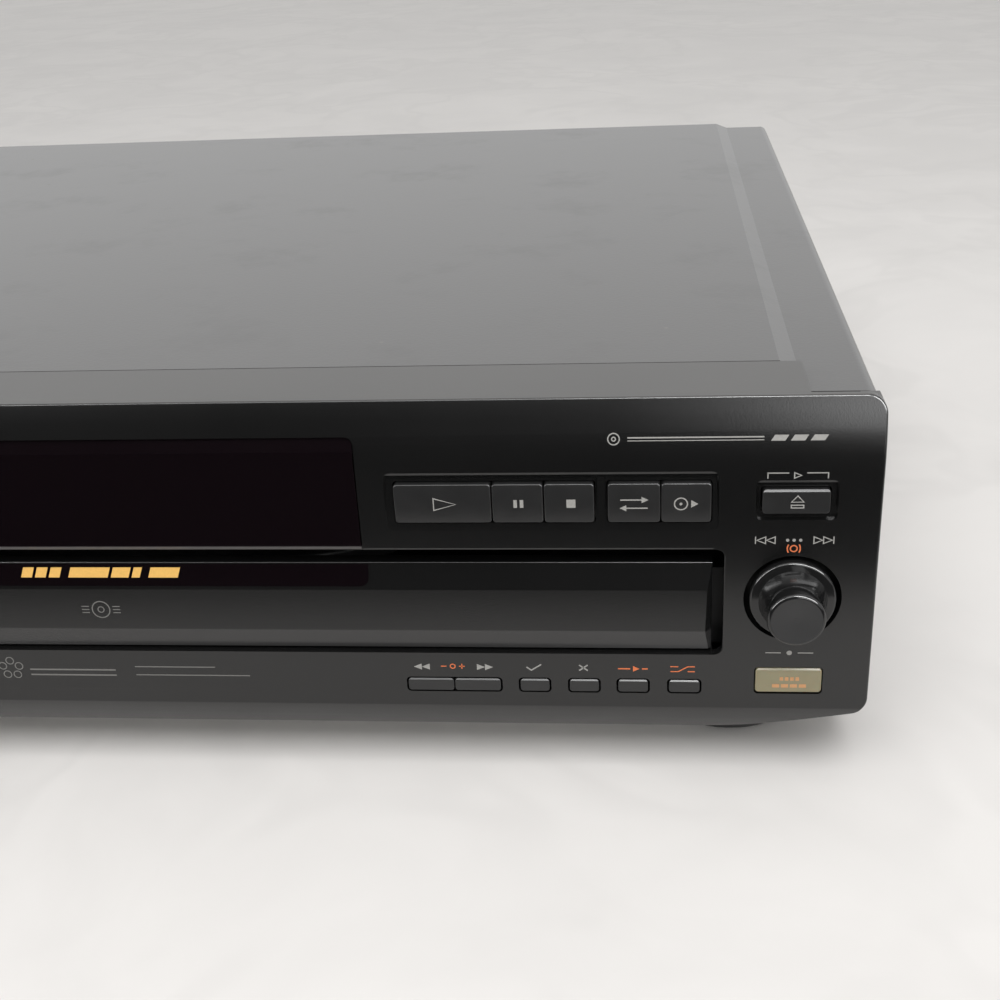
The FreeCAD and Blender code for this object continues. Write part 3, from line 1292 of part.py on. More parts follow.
def main_board():
    board_low = 18.0
    board = box("main_board_sheet", (86.0, 168.0), (-40.0, 160.0), (board_low, board_low + 1.6))
    posts = [rod(f"main_board_post_{index}", 3.0, board_low - PAN_TOP, x, y, PAN_TOP)
             for index, (x, y) in enumerate(((92.0, -34.0), (162.0, -34.0), (92.0, 154.0), (162.0, 154.0)))]
    keep(fuse("main_board_whole", board, *posts), "main_board")
    top = board_low + 1.6
    chips = [box(f"chip_{index}", (x, x + 14.0), (y, y + 14.0), (top, top + 2.4))
             for index, (x, y) in enumerate(((100.0, -20.0), (130.0, 10.0), (104.0, 60.0)))]
    cans = [rod(f"capacitor_{index}", 4.0, 12.0, x, y, top)
            for index, (x, y) in enumerate(((96.0, 100.0), (110.0, 100.0), (124.0, 100.0), (150.0, 60.0),
                                           (150.0, 76.0), (96.0, 120.0), (110.0, 120.0)))]
    plugs = [box(f"connector_{index}", (x, x + 5.0), (y, y + 22.0), (top, top + 8.0))
             for index, (x, y) in enumerate(((90.0, 10.0), (158.0, -10.0), (158.0, 110.0)))]
    keep(group("board_parts", *chips, *cans, *plugs), "board_components")


def transformer():
    core = box("core", (-150.0, -102.0), (104.0, 142.0), (13.0, 36.0))
    coil = box("coil", (-143.0, -109.0), (96.0, 150.0), (15.0, 34.0))
    feet_plate = box("core_feet", (-158.0, -94.0), (112.0, 134.0), (PAN_TOP, 13.2))
    keep(fuse("transformer_whole", core, coil, feet_plate), "power_transformer")


def rear_sockets():
    inner = REAR - s.sheet_thick
    barrel_end = s.jack_stand_out
    jacks = []
    for index, z in enumerate((JACK_LOW, JACK_HIGH)):
        jacks.append(turned(f"line_jack_{index}", [
            (1.7, -6.0), (5.0, -6.0), (5.0, 1.2), (4.15, 1.2), (4.15, barrel_end - 0.4),
            (3.75, barrel_end), (1.7, barrel_end)], LINE_X, REAR, z, BACK))
    block = box("line_block", (LINE_X - 8.0, LINE_X + 8.0), (inner - 15.0, inner - 0.1), (33.0, 67.0))
    bores = [rod(f"line_bore_{index}", 1.7, 12.0, LINE_X, inner - 8.0, z, BACK)
             for index, z in enumerate((JACK_LOW, JACK_HIGH))]
    keep(cut("line_whole", fuse("line_solid", block, *jacks), *bores), "line_out_jacks")
    body = box("optical_body", (OPTICAL_X - 6.0, OPTICAL_X + 6.0), (inner - 12.0, inner - 0.1),
               (JACK_HIGH - 6.0, JACK_HIGH + 6.0))
    nose = rod("optical_nose", 6.8, 3.0, OPTICAL_X, inner - 1.0, JACK_HIGH, BACK)
    socket = box("optical_socket", (OPTICAL_X - 3.8, OPTICAL_X + 3.8), (inner - 7.0, REAR + 4.0),
                 (JACK_HIGH - 3.8, JACK_HIGH + 3.8))
    keep(cut("optical", fuse("optical_solid", body, nose), socket), "optical_out")
    gland = turned("gland", [
        (3.6, -4.6), (7.6, -4.6), (7.6, -1.15), (6.2, -1.15), (6.2, 0.15), (8.4, 0.15), (8.4, 3.4),
        (7.4, 4.4), (3.6, 4.4)], CORD_X, REAR, CORD_Z, BACK)
    keep(gland, "cord_gland")


def check(items):
    bad = [item.Name for item in doc.Objects if "Invalid" in item.State or "Error" in item.State]
    if bad:
        raise RuntimeError("failed objects: " + ", ".join(bad))
    for item in items:
        shape = item.Shape
        if shape.isNull() or not shape.isValid() or shape.Volume <= 0.0:
            raise RuntimeError("bad shape: " + item.Label)


def export(items):
    os.makedirs("parts", exist_ok=True)
    for item in items:
        item.Shape.exportStep(os.path.join("parts", item.Label + ".step"))


write_sheet()
for build in (
        chassis_base, feet, rear_panel, top_cover, case_screws, front_panel, display_window, display_tube,
        front_boards, keys, jog, level_knob, headphone_jack, tray, tray_door, tray_rails, carousel,
        table_drive, loading_drive, mechanism_frame, pickup_base, pickup_parts, cam_slider, cam_gear,
        clamp_bridge, main_board, transformer, rear_sockets):
    build()
doc.recompute()
check(nodes)
export(nodes)
print(len(nodes), "nodes")
for node in nodes:
    area = node.Shape.BoundBox
    print(f"{node.Label:24s} solids {len(node.Shape.Solids):2d}  volume {node.Shape.Volume / 1000.0:8.2f} cm3  "
          f"x {area.XMin:7.1f} {area.XMax:7.1f}  y {area.YMin:7.1f} {area.YMax:7.1f}  "
          f"z {area.ZMin:6.1f} {area.ZMax:6.1f}")
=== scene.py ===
"""Dresses the disc changer: finishes for every part, printed marks, and a small studio."""

import math

import bpy
from bpy.props import FloatProperty, FloatVectorProperty, PointerProperty
from mathutils import Matrix, Vector


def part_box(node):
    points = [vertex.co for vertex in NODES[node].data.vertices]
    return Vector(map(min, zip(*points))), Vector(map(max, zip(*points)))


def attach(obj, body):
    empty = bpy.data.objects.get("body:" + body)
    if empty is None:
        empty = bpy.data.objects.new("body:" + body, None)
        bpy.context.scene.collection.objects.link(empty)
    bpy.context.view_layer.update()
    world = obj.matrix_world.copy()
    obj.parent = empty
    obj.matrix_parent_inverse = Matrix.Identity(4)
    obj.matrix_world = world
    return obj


bl_info = {
    "name": "Disc changer finish",
    "version": (1, 0, 0),
    "blender": (4, 5, 0),
    "location": "3D View > Sidebar > Changer",
    "description": "Finishes, printed marks and studio for a carousel disc changer",
    "category": "Object",
}

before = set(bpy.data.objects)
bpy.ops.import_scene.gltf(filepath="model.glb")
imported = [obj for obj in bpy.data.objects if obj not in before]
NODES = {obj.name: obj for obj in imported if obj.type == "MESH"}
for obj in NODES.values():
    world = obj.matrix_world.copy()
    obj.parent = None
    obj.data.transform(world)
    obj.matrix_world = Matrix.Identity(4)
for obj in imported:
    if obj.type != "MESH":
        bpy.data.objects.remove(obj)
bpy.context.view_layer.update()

MM = 0.001

# Measures of the solids that the finishes and marks refer to, in metres.
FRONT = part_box("front_panel")[0][1]
BROW_CREASE, BROW_RADIUS = 0.0957, 0.0486
PANEL_FOOT, DOOR_FOOT = 0.0221, 0.0466
LIP = (0.109, 0.111)
WINDOW_BEVEL = ((0.0715, 0.0718), (0.0734, 0.0740))
DOOR_PROFILE = ((0.0404, 0.0020), (0.0466, 0.0010), (0.0592, 0.0014), (0.0673, 0.00275))
INLAY = 0.0001
KEY_TALL, KEY_CROWN = 0.0113, 0.00035
CROWNED = {name + "_button" for name in (
    "play", "pause", "stop", "exchange", "disc_skip", "program", "shuffle", "continue")}

# Fixed shades.
# Painted light: the paler colour of the front's bevel and the door's lower facet, below their foot
# height.
FOOT_PAINTED_LIGHT = (0.022, 0.0215, 0.0215)
# Painted highlight: the pale colour of the window's lower bevel.
EDGE_PAINTED_HIGHLIGHT = (0.085, 0.080, 0.079)
# Paler colour of the front's faces that point up, above the lip.
UPWARD_PALE = (0.20, 0.195, 0.185)
COVER_DUST, PANEL_DUST, WINDOW_DUST = (0.20, 0.19, 0.175), (0.16, 0.15, 0.14), (0.08, 0.07, 0.07)
FADED, DIM = 0.5, 0.45

# The camera: its place, and where right and down in its view point.
CAMERA_PLACE = (0.15232, -0.5085, 0.2466)
CAMERA_RIGHT = (0.994805, 0.089544, -0.048427)
CAMERA_DOWN = (-0.004495, -0.436601, -0.899644)


# ---------------------------------------------------------------- settings

def colour(name, default, description):
    return FloatVectorProperty(name=name, subtype="COLOR", size=3, min=0.0, max=1.0,
                               default=default, description=description)


def length(name, default, description):
    return FloatProperty(name=name, unit="LENGTH", subtype="DISTANCE", min=0.0, precision=5,
                         default=default, description=description)


def share(name, default, description):
    return FloatProperty(name=name, subtype="FACTOR", min=0.0, max=1.0,
                         default=default, description=description)


def power(name, default, description):
    return FloatProperty(name=name, unit="POWER", min=0.0, default=default,
                         description=description)


class ChangerFinish(bpy.types.PropertyGroup):
    """Colours and sheen of the case."""
    cover: colour("Cover paint", (0.050, 0.049, 0.048), "Satin paint on the steel cover")
    panel: colour("Front plastic", (0.005, 0.005, 0.005), "Moulded plastic of the front and door")
    keys: colour("Key plastic", (0.013, 0.013, 0.0132), "Smooth plastic of the keys and knobs")
    window: colour("Window", (0.0040, 0.0024, 0.0032), "Smoked plastic over the display")
    lit_key: colour("Lit key", (0.225, 0.20, 0.122), "Translucent ivory key")
    cover_gloss: share("Cover roughness", 0.30, "Roughness of the cover paint")
    panel_gloss: share("Panel roughness", 0.20, "Roughness of the front plastic")


class ChangerPrint(bpy.types.PropertyGroup):
    """Inks and line widths of the printed marks."""
    grey: colour("Grey ink", (0.28, 0.275, 0.26), "Ink of most marks")
    orange: colour("Orange ink", (0.60, 0.15, 0.05), "Ink of the second functions")
    amber: colour("Amber ink", (0.72, 0.42, 0.10), "Ink of the stripes on the door")
    pale: colour("Pale ink", (0.50, 0.26, 0.12), "Ink on the lit key")
    line: length("Line width", 0.0003, "Width of a drawn line")
    thick: length("Ink thickness", 0.00004, "How far the ink stands on the plastic")


class ChangerStudio(bpy.types.PropertyGroup):
    """Camera and lights."""
    lens: FloatProperty(name="Lens", subtype="DISTANCE_CAMERA", default=49.5, min=10.0, max=200.0,
                        description="Focal length for a 36 mm wide sensor")
    floor: colour("Floor", (0.72, 0.70, 0.68), "Pale floor")
    backdrop: share("Backdrop", 1.0, "Strength of the backdrop for the camera and glossy parts")
    fill: share("Fill", 0.62, "Strength of the even light from all round")
    top_power: power("Top light", 15.0, "Large soft light above")
    side_power: power("Side light", 5.5, "Soft light in front of the right end")
    gleam_power: power("Gleam", 38.0, "Narrow lights that only glossy edges show")


# ---------------------------------------------------------------- shader expressions

class Value:
    """A number that varies over a surface, as the output of a shader node."""

    def __init__(self, nodes, socket):
        self.nodes = nodes
        self.socket = socket

    def math(self, operation, one, other):
        return self.nodes.node("ShaderNodeMath", {"operation": operation}, {0: one, 1: other})

    def most(self, other):
        return self.math("MAXIMUM", self, other)

    def __abs__(self):
        return self.nodes.node("ShaderNodeMath", {"operation": "ABSOLUTE"}, {0: self})

    def __add__(self, other):
        return self.math("ADD", self, other)

    def __radd__(self, other):
        return self.math("ADD", other, self)

    def __sub__(self, other):
        return self.math("SUBTRACT", self, other)

    def __rsub__(self, other):
        return self.math("SUBTRACT", other, self)

    def __mul__(self, other):
        return self.math("MULTIPLY", self, other)

    def __rmul__(self, other):
        return self.math("MULTIPLY", other, self)


def opaque(value):
    """A colour of three numbers gets a full fourth one."""
    return (*value, 1.0) if isinstance(value, tuple) and len(value) == 3 else value


def tint(value, factor):
    """A lighter or darker shade of a colour."""
    return tuple(part * factor for part in value)


class Nodes:
    """A node tree that is built from expressions."""

    def __init__(self, tree):
        self.tree = tree

    def plug(self, value, socket):
        if isinstance(value, Value):
            self.tree.links.new(value.socket, socket)
        else:
            socket.default_value = opaque(value) if socket.type == "RGBA" else value

    def node(self, kind, settings, values, output=0):
        """Any node: its type, settings, socket values or links, and which output is wanted."""
        made = self.tree.nodes.new(kind)
        for name, setting in settings.items():
            setattr(made, name, setting)
        for name, value in values.items():
            self.plug(value, made.inputs[name])
        return Value(self, made.outputs[output])


class Finish(Nodes):
    """A procedural material round one Principled shader."""

    def __init__(self, name, **constants):
        self.material = bpy.data.materials.new(name)
        self.material.use_nodes = True
        super().__init__(self.material.node_tree)
        self.shader = self.tree.nodes["Principled BSDF"]
        self.set(**constants)
        self.place = self.node("ShaderNodeTexCoord", {}, {}, "Object")

    def set(self, **values):
        for name, value in values.items():
            self.plug(value, self.shader.inputs[name.replace("_", " ")])

    def noise(self, size, detail=2.0, roughness=0.5, at=None):
        """Smooth noise whose features are about that many metres across."""
        return self.node("ShaderNodeTexNoise", {}, {
            "Vector": at or self.place, "Scale": 1.0 / size, "Detail": detail,
            "Roughness": roughness})

    def steps(self, value, low, high):
        """0 below low, 1 above high and a smooth ramp between."""
        return self.node("ShaderNodeMapRange", {"interpolation_type": "SMOOTHSTEP"}, {
            "Value": value, "From Min": low, "From Max": high, "To Min": 0.0, "To Max": 1.0})

    def mix(self, mask, one, other):
        """One colour where the mask is 0, the other where it is 1."""
        return self.node("ShaderNodeMix", {"data_type": "RGBA"}, {0: mask, 6: one, 7: other}, 2)

    def along(self, axis):
        """How far a point lies along an axis, in metres."""
        return self.part(axis, self.place)

    def stretch(self, x, y, z):
        """The place in the object, scaled along each axis."""
        return self.vector("MULTIPLY", self.place, (x, y, z))

    def vector(self, operation, one, other, output=0):
        return self.node("ShaderNodeVectorMath", {"operation": operation}, {0: one, 1: other},
                         output)

    def part(self, axis, vector):
        """One of a vector's three numbers."""
        return self.node("ShaderNodeSeparateXYZ", {}, {0: vector}, axis)

    def bump(self, height, strength, distance):
        return self.node("ShaderNodeBump", {}, {
            "Height": height, "Strength": strength, "Distance": distance})

    def specks(self, pitch, share, low, high):
        """Small scattered spots: 1 on a spot and 0 elsewhere."""
        where = {"Vector": self.place, "Scale": 1.0 / pitch}
        distance = self.node("ShaderNodeTexVoronoi", {}, where, "Distance")
        draw = self.node("ShaderNodeTexVoronoi", {}, where, "Color")
        chance = self.node("ShaderNodeSeparateColor", {}, {"Color": draw}, "Red")
        spot = 1.0 - self.steps(distance, low, high)
        return spot * self.steps(chance, 1.0 - share, 1.02 - share)


# ---------------------------------------------------------------- finishes

def cover_paint(settings):
    """Satin black paint on steel: orange peel, faint handling marks and dust."""
    base = tuple(settings.cover)
    paint = Finish("cover_paint", Specular_IOR_Level=0.5, Coat_Roughness=0.25, Coat_IOR=1.5)
    broad = paint.noise(0.11, detail=3.0)
    peel = paint.noise(0.0012, detail=2.0)
    dust = paint.specks(0.016, share=0.22, low=0.02, high=0.06)
    smear = paint.steps(paint.noise(0.035, 4.0, 0.65), 0.52, 0.78)
    shade = paint.mix(broad, tint(base, 0.92), tint(base, 1.10))
    paint.set(Base_Color=paint.mix(dust * 0.6, shade, COVER_DUST),
              Roughness=settings.cover_gloss + 0.05 * broad + 0.05 * smear + 0.2 * dust,
              Coat_Weight=0.25 + 0.1 * broad,
              Normal=paint.bump(peel, 0.10, 0.0003))
    return paint.material


def panel_plastic(name, settings, foot, painted_light_share):
    """Fine satin moulded plastic with a little dust, and painted light that makes it paler below
    the height of its foot.
    """
    base = tuple(settings.panel)
    plastic = Finish(name, Specular_IOR_Level=0.60)
    flow = plastic.noise(0.05, detail=2.0)
    grain = plastic.noise(0.00045, detail=2.0)
    dust = plastic.specks(0.012, share=0.12, low=0.015, high=0.04)
    height = plastic.along("Z")
    upward = plastic.part("Z", plastic.node("ShaderNodeNewGeometry", {}, {}, "Normal"))
    # Paler colour, and a little more roughness, on faces that point up above the lip.
    upward_pale_mask = plastic.steps(upward, 0.75, 1.0) * plastic.steps(height, *LIP)
    # Painted light: below the foot height the face is made paler by the given share, standing for
    # the light it catches from the floor.
    painted_light_mask = (1.0 - plastic.steps(height, foot - 0.0004, foot)) * painted_light_share
    shade = plastic.mix(painted_light_mask, plastic.mix(flow, tint(base, 0.92), tint(base, 1.12)), FOOT_PAINTED_LIGHT)
    upward_paled = plastic.mix(upward_pale_mask * (0.185 + 0.10 * flow), shade, UPWARD_PALE)
    plastic.set(Base_Color=plastic.mix(dust * 0.5, upward_paled, PANEL_DUST),
                Roughness=settings.panel_gloss + 0.05 * flow + 0.1 * upward_pale_mask,
                Normal=plastic.bump(grain, 0.12, 0.00012))
    return plastic.material


def smooth_plastic(name, base, roughness):
    """Smooth moulded plastic, slightly marked by touch."""
    plastic = Finish(name, Specular_IOR_Level=0.5)
    touch = plastic.noise(0.006, detail=3.0)
    grain = plastic.noise(0.0003, detail=1.0)
    plastic.set(Base_Color=plastic.mix(touch, tint(base, 0.9), tint(base, 1.2)),
                Roughness=roughness + 0.08 * touch,
                Normal=plastic.bump(grain, 0.06, 0.0001))
    return plastic.material


def knob_plastic(name, base, node, radius):
    """A glossy knob whose flat cap, out to that radius, is spun matt."""
    plastic = Finish(name, Specular_IOR_Level=0.5)
    touch = plastic.noise(0.006, detail=3.0)
    (left, face, low), (right, _, high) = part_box(node)
    middle = ((left + right) / 2, 0.0, (low + high) / 2)
    reach = plastic.vector("DISTANCE", plastic.stretch(1.0, 0.0, 1.0), middle, "Value")
    outer = 1.0 - plastic.steps(plastic.along("Y"), face + 0.0008, face + 0.0012)
    cap = outer * (1.0 - plastic.steps(reach, radius - 0.0002, radius + 0.0002))
    turned = plastic.noise(0.0004, detail=2.0)
    plastic.set(Base_Color=plastic.mix(cap, tint(base, 0.8), tint(base, 1.7)),
                Roughness=0.07 + 0.04 * touch + 0.28 * cap,
                Normal=plastic.bump(turned * cap, 0.10, 0.0001))
    return plastic.material


def window_plastic(settings):
    """Polished smoked plastic with the faintest smears, and a painted highlight on a rough bevel
    along its foot.
    """
    plastic = Finish("window_plastic", Specular_IOR_Level=0.5, IOR=1.49)
    smear = plastic.noise(0.02, 4.0, 0.6)
    dust = plastic.specks(0.013, share=0.12, low=0.015, high=0.04)
    height = plastic.along("Z")
    foot, ridge = WINDOW_BEVEL
    # Painted highlight: the bevel along the window's foot is made pale, and rough, to stand for its
    # bright edge.
    edge_highlight_mask = (1.0 - plastic.steps(height, *ridge)) * plastic.steps(height, *foot)
    clean = plastic.mix(dust * 0.5, tuple(settings.window), WINDOW_DUST)
    plastic.set(Base_Color=plastic.mix(edge_highlight_mask, clean, EDGE_PAINTED_HIGHLIGHT),
                Roughness=0.05 + 0.05 * smear + 0.3 * dust + 0.4 * edge_highlight_mask)
    return plastic.material


def lit_plastic(settings):
    """Translucent ivory plastic."""
    base = tuple(settings.lit_key)
    plastic = Finish("lit_plastic", Subsurface_Weight=0.2, Subsurface_Scale=0.001,
                     Specular_IOR_Level=0.45)
    cloud = plastic.noise(0.004, detail=3.0)
    plastic.set(Base_Color=plastic.mix(cloud, tint(base, 0.90), tint(base, 1.08)),
                Roughness=0.33 + 0.06 * cloud,
                Normal=plastic.bump(plastic.noise(0.0003), 0.05, 0.0001))
    return plastic.material


def ink(name, value):
    """Screen-printed ink, slightly uneven."""
    print_ink = Finish(name, Specular_IOR_Level=0.3)
    patch = print_ink.noise(0.0006, detail=3.0)
    print_ink.set(Base_Color=print_ink.mix(patch, tint(value, 0.82), tint(value, 1.08)),
                  Roughness=0.55 + 0.1 * patch)
    return print_ink.material


def inner_plastic(name, base, roughness):
    """Moulded inner plastic with a spark-eroded grain."""
    plastic = Finish(name, Specular_IOR_Level=0.5)
    grain = plastic.noise(0.0006, detail=2.0)
    flow = plastic.noise(0.02, detail=3.0)
    plastic.set(Base_Color=plastic.mix(flow, tint(base, 0.88), tint(base, 1.1)),
                Roughness=roughness + 0.1 * flow,
                Normal=plastic.bump(grain, 0.15, 0.0002))
    return plastic.material


def metal(name, base, roughness, brush):
    """Plated or ground metal with a fine directional grain."""
    steel = Finish(name, Metallic=1.0)
    lines = steel.noise(1.0, 2.0, 0.5, steel.stretch(40.0, 900.0, 900.0))
    cloud = steel.noise(0.03, detail=3.0)
    steel.set(Base_Color=steel.mix(cloud, tint(base, 0.86), tint(base, 1.06)),
              Roughness=roughness + brush * lines + 0.08 * cloud,
              Normal=steel.bump(lines, 0.4 * brush, 0.0002))
    return steel.material


def rubber(name):
    """Dull black rubber with a rough skin."""
    compound = Finish(name, Specular_IOR_Level=0.35)
    grain = compound.noise(0.0006, detail=3.0)
    compound.set(Base_Color=compound.mix(grain, (0.012, 0.012, 0.012), (0.028, 0.027, 0.026)),
                 Roughness=0.72 + 0.15 * grain,
                 Normal=compound.bump(grain, 0.3, 0.0002))
    return compound.material


def board_laminate(name, low, high):
    """Circuit laminate: a fine weave under lacquer of a colour between two."""
    board = Finish(name, Specular_IOR_Level=0.5)
    weave = board.node("ShaderNodeTexWave", {}, {
        "Vector": board.place, "Scale": 900.0, "Distortion": 1.0})
    cloud = board.noise(0.02, detail=2.0)
    board.set(Base_Color=board.mix(cloud, low, high),
              Roughness=0.38 + 0.1 * weave,
              Normal=board.bump(weave, 0.1, 0.0001))
    return board.material


def tube_glass():
    """The grey glass of the display tube."""
    glass = Finish("tube_glass", IOR=1.5)
    cloud = glass.noise(0.01, detail=2.0)
    glass.set(Base_Color=glass.mix(cloud, (0.02, 0.03, 0.028), (0.035, 0.045, 0.04)),
              Roughness=0.06 + 0.04 * cloud)
    return glass.material


def transformer_core():
    """Varnished laminations and a wrapped coil."""
    core = Finish("transformer_core", Specular_IOR_Level=0.4)
    sheets = core.node("ShaderNodeTexWave", {"bands_direction": "X"}, {
        "Vector": core.place, "Scale": 320.0, "Distortion": 0.2})
    core.set(Base_Color=core.mix(sheets, (0.10, 0.055, 0.03), (0.19, 0.12, 0.07)),
             Roughness=0.5 + 0.15 * sheets,
             Normal=core.bump(sheets, 0.3, 0.0003))
    return core.material


def dress(piece, material):
    """Give a piece one material."""
    piece.data.materials.clear()
    piece.data.materials.append(material)


class CHANGER_OT_finishes(bpy.types.Operator):
    """Give every CAD part its finish"""
    bl_idname = "changer.finishes"
    bl_label = "Part finishes"

    def execute(self, context):
        settings = context.scene.changer_finish
        keys = tuple(settings.keys)
        plans = (
            (cover_paint(settings), ["top_cover", "rear_panel"]),
            # The last number of each of these two plastics is its share of painted light below the
            # foot.
            (panel_plastic("panel_plastic", settings, PANEL_FOOT, 0.5), ["front_panel"]),
            (panel_plastic("door_plastic", settings, DOOR_FOOT, 1.0), ["tray_door"]),
            (window_plastic(settings), ["display_window"]),
            (lit_plastic(settings), ["lit_button"]),
            (smooth_plastic("key_plastic", keys, 0.27),
             [name for name in NODES if name.endswith("_button") and name != "lit_button"]),
            (knob_plastic("jog_plastic", keys, "jog_knob", 0.0068), ["jog_knob"]),
            (knob_plastic("level_plastic", keys, "level_knob", 0.0070), ["level_knob"]),
            (inner_plastic("inner_black", (0.016, 0.016, 0.017), 0.42),
             ["tray", "carousel", "disc_clamper", "turntable"]),
            # Painted shade: the rails are made near black so that they read as the shade inside the
            # drawer's mouth.
            (inner_plastic("rail_black_painted_shade", (0.004, 0.004, 0.004), 0.5), ["tray_rails"]),
            (inner_plastic("inner_grey", (0.035, 0.035, 0.037), 0.5), ["mechanism_frame"]),
            (inner_plastic("gear_acetal", (0.62, 0.60, 0.54), 0.38),
             ["carousel_gear", "carousel_motor_pulley", "loading_gear", "loading_motor_pulley",
              "sled_gear", "cam_slider", "cam_gear"]),
            (inner_plastic("foot_plastic", (0.016, 0.016, 0.016), 0.5), ["feet", "cord_gland"]),
            (inner_plastic("socket_plastic", (0.02, 0.02, 0.022), 0.35),
             ["headphone_jack", "line_out_jacks", "optical_out", "board_components"]),
            (metal("zinc_sheet", (0.62, 0.63, 0.62), 0.34, 0.12), ["chassis_base", "clamp_bridge"]),
            (metal("ground_steel", (0.66, 0.66, 0.67), 0.2, 0.1), ["guide_rod", "jog_shaft"]),
            (metal("plated_can", (0.55, 0.55, 0.56), 0.26, 0.03),
             ["carousel_motor", "loading_motor", "spindle_motor"]),
            (metal("cast_alloy", (0.36, 0.36, 0.38), 0.45, 0.03), ["pickup_base", "pickup_sled"]),
            (metal("black_screw", (0.05, 0.05, 0.05), 0.32, 0.03), ["case_screws"]),
            (rubber("soft_rubber"), ["foot_pads"]),
            (rubber("belt_rubber"), ["carousel_belt", "loading_belt"]),
            (board_laminate("brown_laminate", (0.060, 0.032, 0.012), (0.095, 0.052, 0.021)),
             ["main_board"]),
            # Painted shade: the front boards are made near black so that they read as the shade
            # seen through the gaps round the knob and the drawer.
            (board_laminate("black_laminate_painted_shade", (0.004, 0.004, 0.004), (0.008, 0.008, 0.007)),
             ["front_boards"]),
            (tube_glass(), ["fluorescent_display"]),
            (transformer_core(), ["power_transformer"]),
        )
        bare = set(NODES)
        for material, names in plans:
            for name in names:
                dress(NODES[name], material)
                bare.discard(name)
        if bare:
            raise RuntimeError(f"parts with no finish: {sorted(bare)}")
        return {"FINISHED"}


# ---------------------------------------------------------------- printed marks

def normal(along, other):
    """The unit vector a quarter turn left of a direction, or of the other if that has no length."""
    x, z = along if math.hypot(*along) > 1e-9 else other
    size = math.hypot(x, z)
    return -z / size, x / size


class Plates:
    """Thin closed plates of ink, drawn in millimetres across and up on a face of the front."""

    def __init__(self, face, thick, line):
        self.face = face
        self.thick = thick
        self.line = line / MM
        self.vertices = []
        self.faces = []

    def point(self, x, z, out):
        """One vertex, as far outside the face as its twin is inside, and its number."""
        depth = self.face(z * MM) + (-self.thick if out else self.thick)
        self.vertices.append((x * MM, depth, z * MM))
        return len(self.vertices) - 1

    def fill(self, *points):
        """A solid convex plate."""
        sides = zip(points, points[1:] + points[:1])
        area = sum(x0 * z1 - x1 * z0 for (x0, z0), (x1, z1) in sides)
        points = points if area > 0.0 else points[::-1]
        front = [self.point(x, z, True) for x, z in points]
        back = [self.point(x, z, False) for x, z in points]
        self.faces += [front, back[::-1]]
        for index in range(len(front)):
            one = index - 1
            self.faces.append([front[one], back[one], back[index], front[index]])

    def bar(self, x, z, wide, tall, lean=0.0):
        """A bar round its middle, which may lean to the right."""
        low, high = z - tall / 2, z + tall / 2
        left, right = x - wide / 2, x + wide / 2
        self.fill((left - lean, low), (right - lean, low),
                  (right + lean, high), (left + lean, high))

    def stroke(self, points, closed=False, width=None):
        """A line of even width with mitred corners."""
        half = (width or self.line) / 2
        count = len(points)
        rows = []
        for index, (x, z) in enumerate(points):
            before = points[index - 1] if closed or index else (x, z)
            after = points[(index + 1) % count] if closed or index < count - 1 else (x, z)
            turn_in = normal((x - before[0], z - before[1]), (after[0] - x, after[1] - z))
            turn_out = normal((after[0] - x, after[1] - z), (x - before[0], z - before[1]))
            across = ((turn_in[0] + turn_out[0]) / 2, (turn_in[1] + turn_out[1]) / 2)
            size = max(0.25, across[0] ** 2 + across[1] ** 2)
            ox, oz = across[0] / size * half, across[1] / size * half
            rows.append([self.point(x + ox, z + oz, True), self.point(x - ox, z - oz, True),
                         self.point(x - ox, z - oz, False), self.point(x + ox, z + oz, False)])
        pairs = list(zip(rows, rows[1:] + rows[:1])) if closed else list(zip(rows, rows[1:]))
        for one, other in pairs:
            for side in range(4):
                follow = (side + 1) % 4
                self.faces.append([one[side], one[follow], other[follow], other[side]])
        if not closed:
            self.faces += [rows[0][::-1], rows[-1]]

    def ring(self, x, z, radius, width=None, start=0.0, end=360.0):
        """A ring, or an arc from one angle to another in degrees."""
        whole = end - start >= 360.0
        count = max(6, round((end - start) / 15.0))
        turns = [math.radians(start + (end - start) * step / count)
                 for step in range(count + (not whole))]
        self.stroke([(x + radius * math.cos(turn), z + radius * math.sin(turn)) for turn in turns],
                    whole, width)

    def dot(self, x, z, radius):
        turns = [math.radians(angle) for angle in range(0, 360, 30)]
        self.fill(*((x + radius * math.cos(turn), z + radius * math.sin(turn)) for turn in turns))

    def arrow(self, x, z, wide, tall, way, hollow=False):
        """A triangle that points right (1) or left (-1)."""
        back, tip = x - way * wide / 2, x + way * wide / 2
        corners = [(back, z - tall / 2), (tip, z), (back, z + tall / 2)]
        if hollow:
            self.stroke(corners, True)
        else:
            self.fill(*corners)

    def make(self, name, material, body, slot):
        """Turn the plates into one piece that rides on a body."""
        mesh = bpy.data.meshes.new(name)
        mesh.from_pydata(self.vertices, [], self.faces)
        mesh.validate()
        piece = bpy.data.objects.new(name, mesh)
        bpy.context.scene.collection.objects.link(piece)
        dress(piece, material)
        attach(piece, body)


def flat_front(height):
    """The front panel's face: flat, then curving back over the brow."""
    rise = max(0.0, height - BROW_CREASE)
    return FRONT + BROW_RADIUS - math.sqrt(BROW_RADIUS ** 2 - rise ** 2)


def door_face(height):
    """The door's face: a slanting foot, an upright middle and a band that leans back."""
    for (low, start), (high, end) in zip(DOOR_PROFILE, DOOR_PROFILE[1:]):
        if height <= high:
            break
    return FRONT + start + (end - start) * (height - low) / (high - low)


def inlay_face(height):
    """The glossy inlay on the door's band."""
    return door_face(height) - INLAY


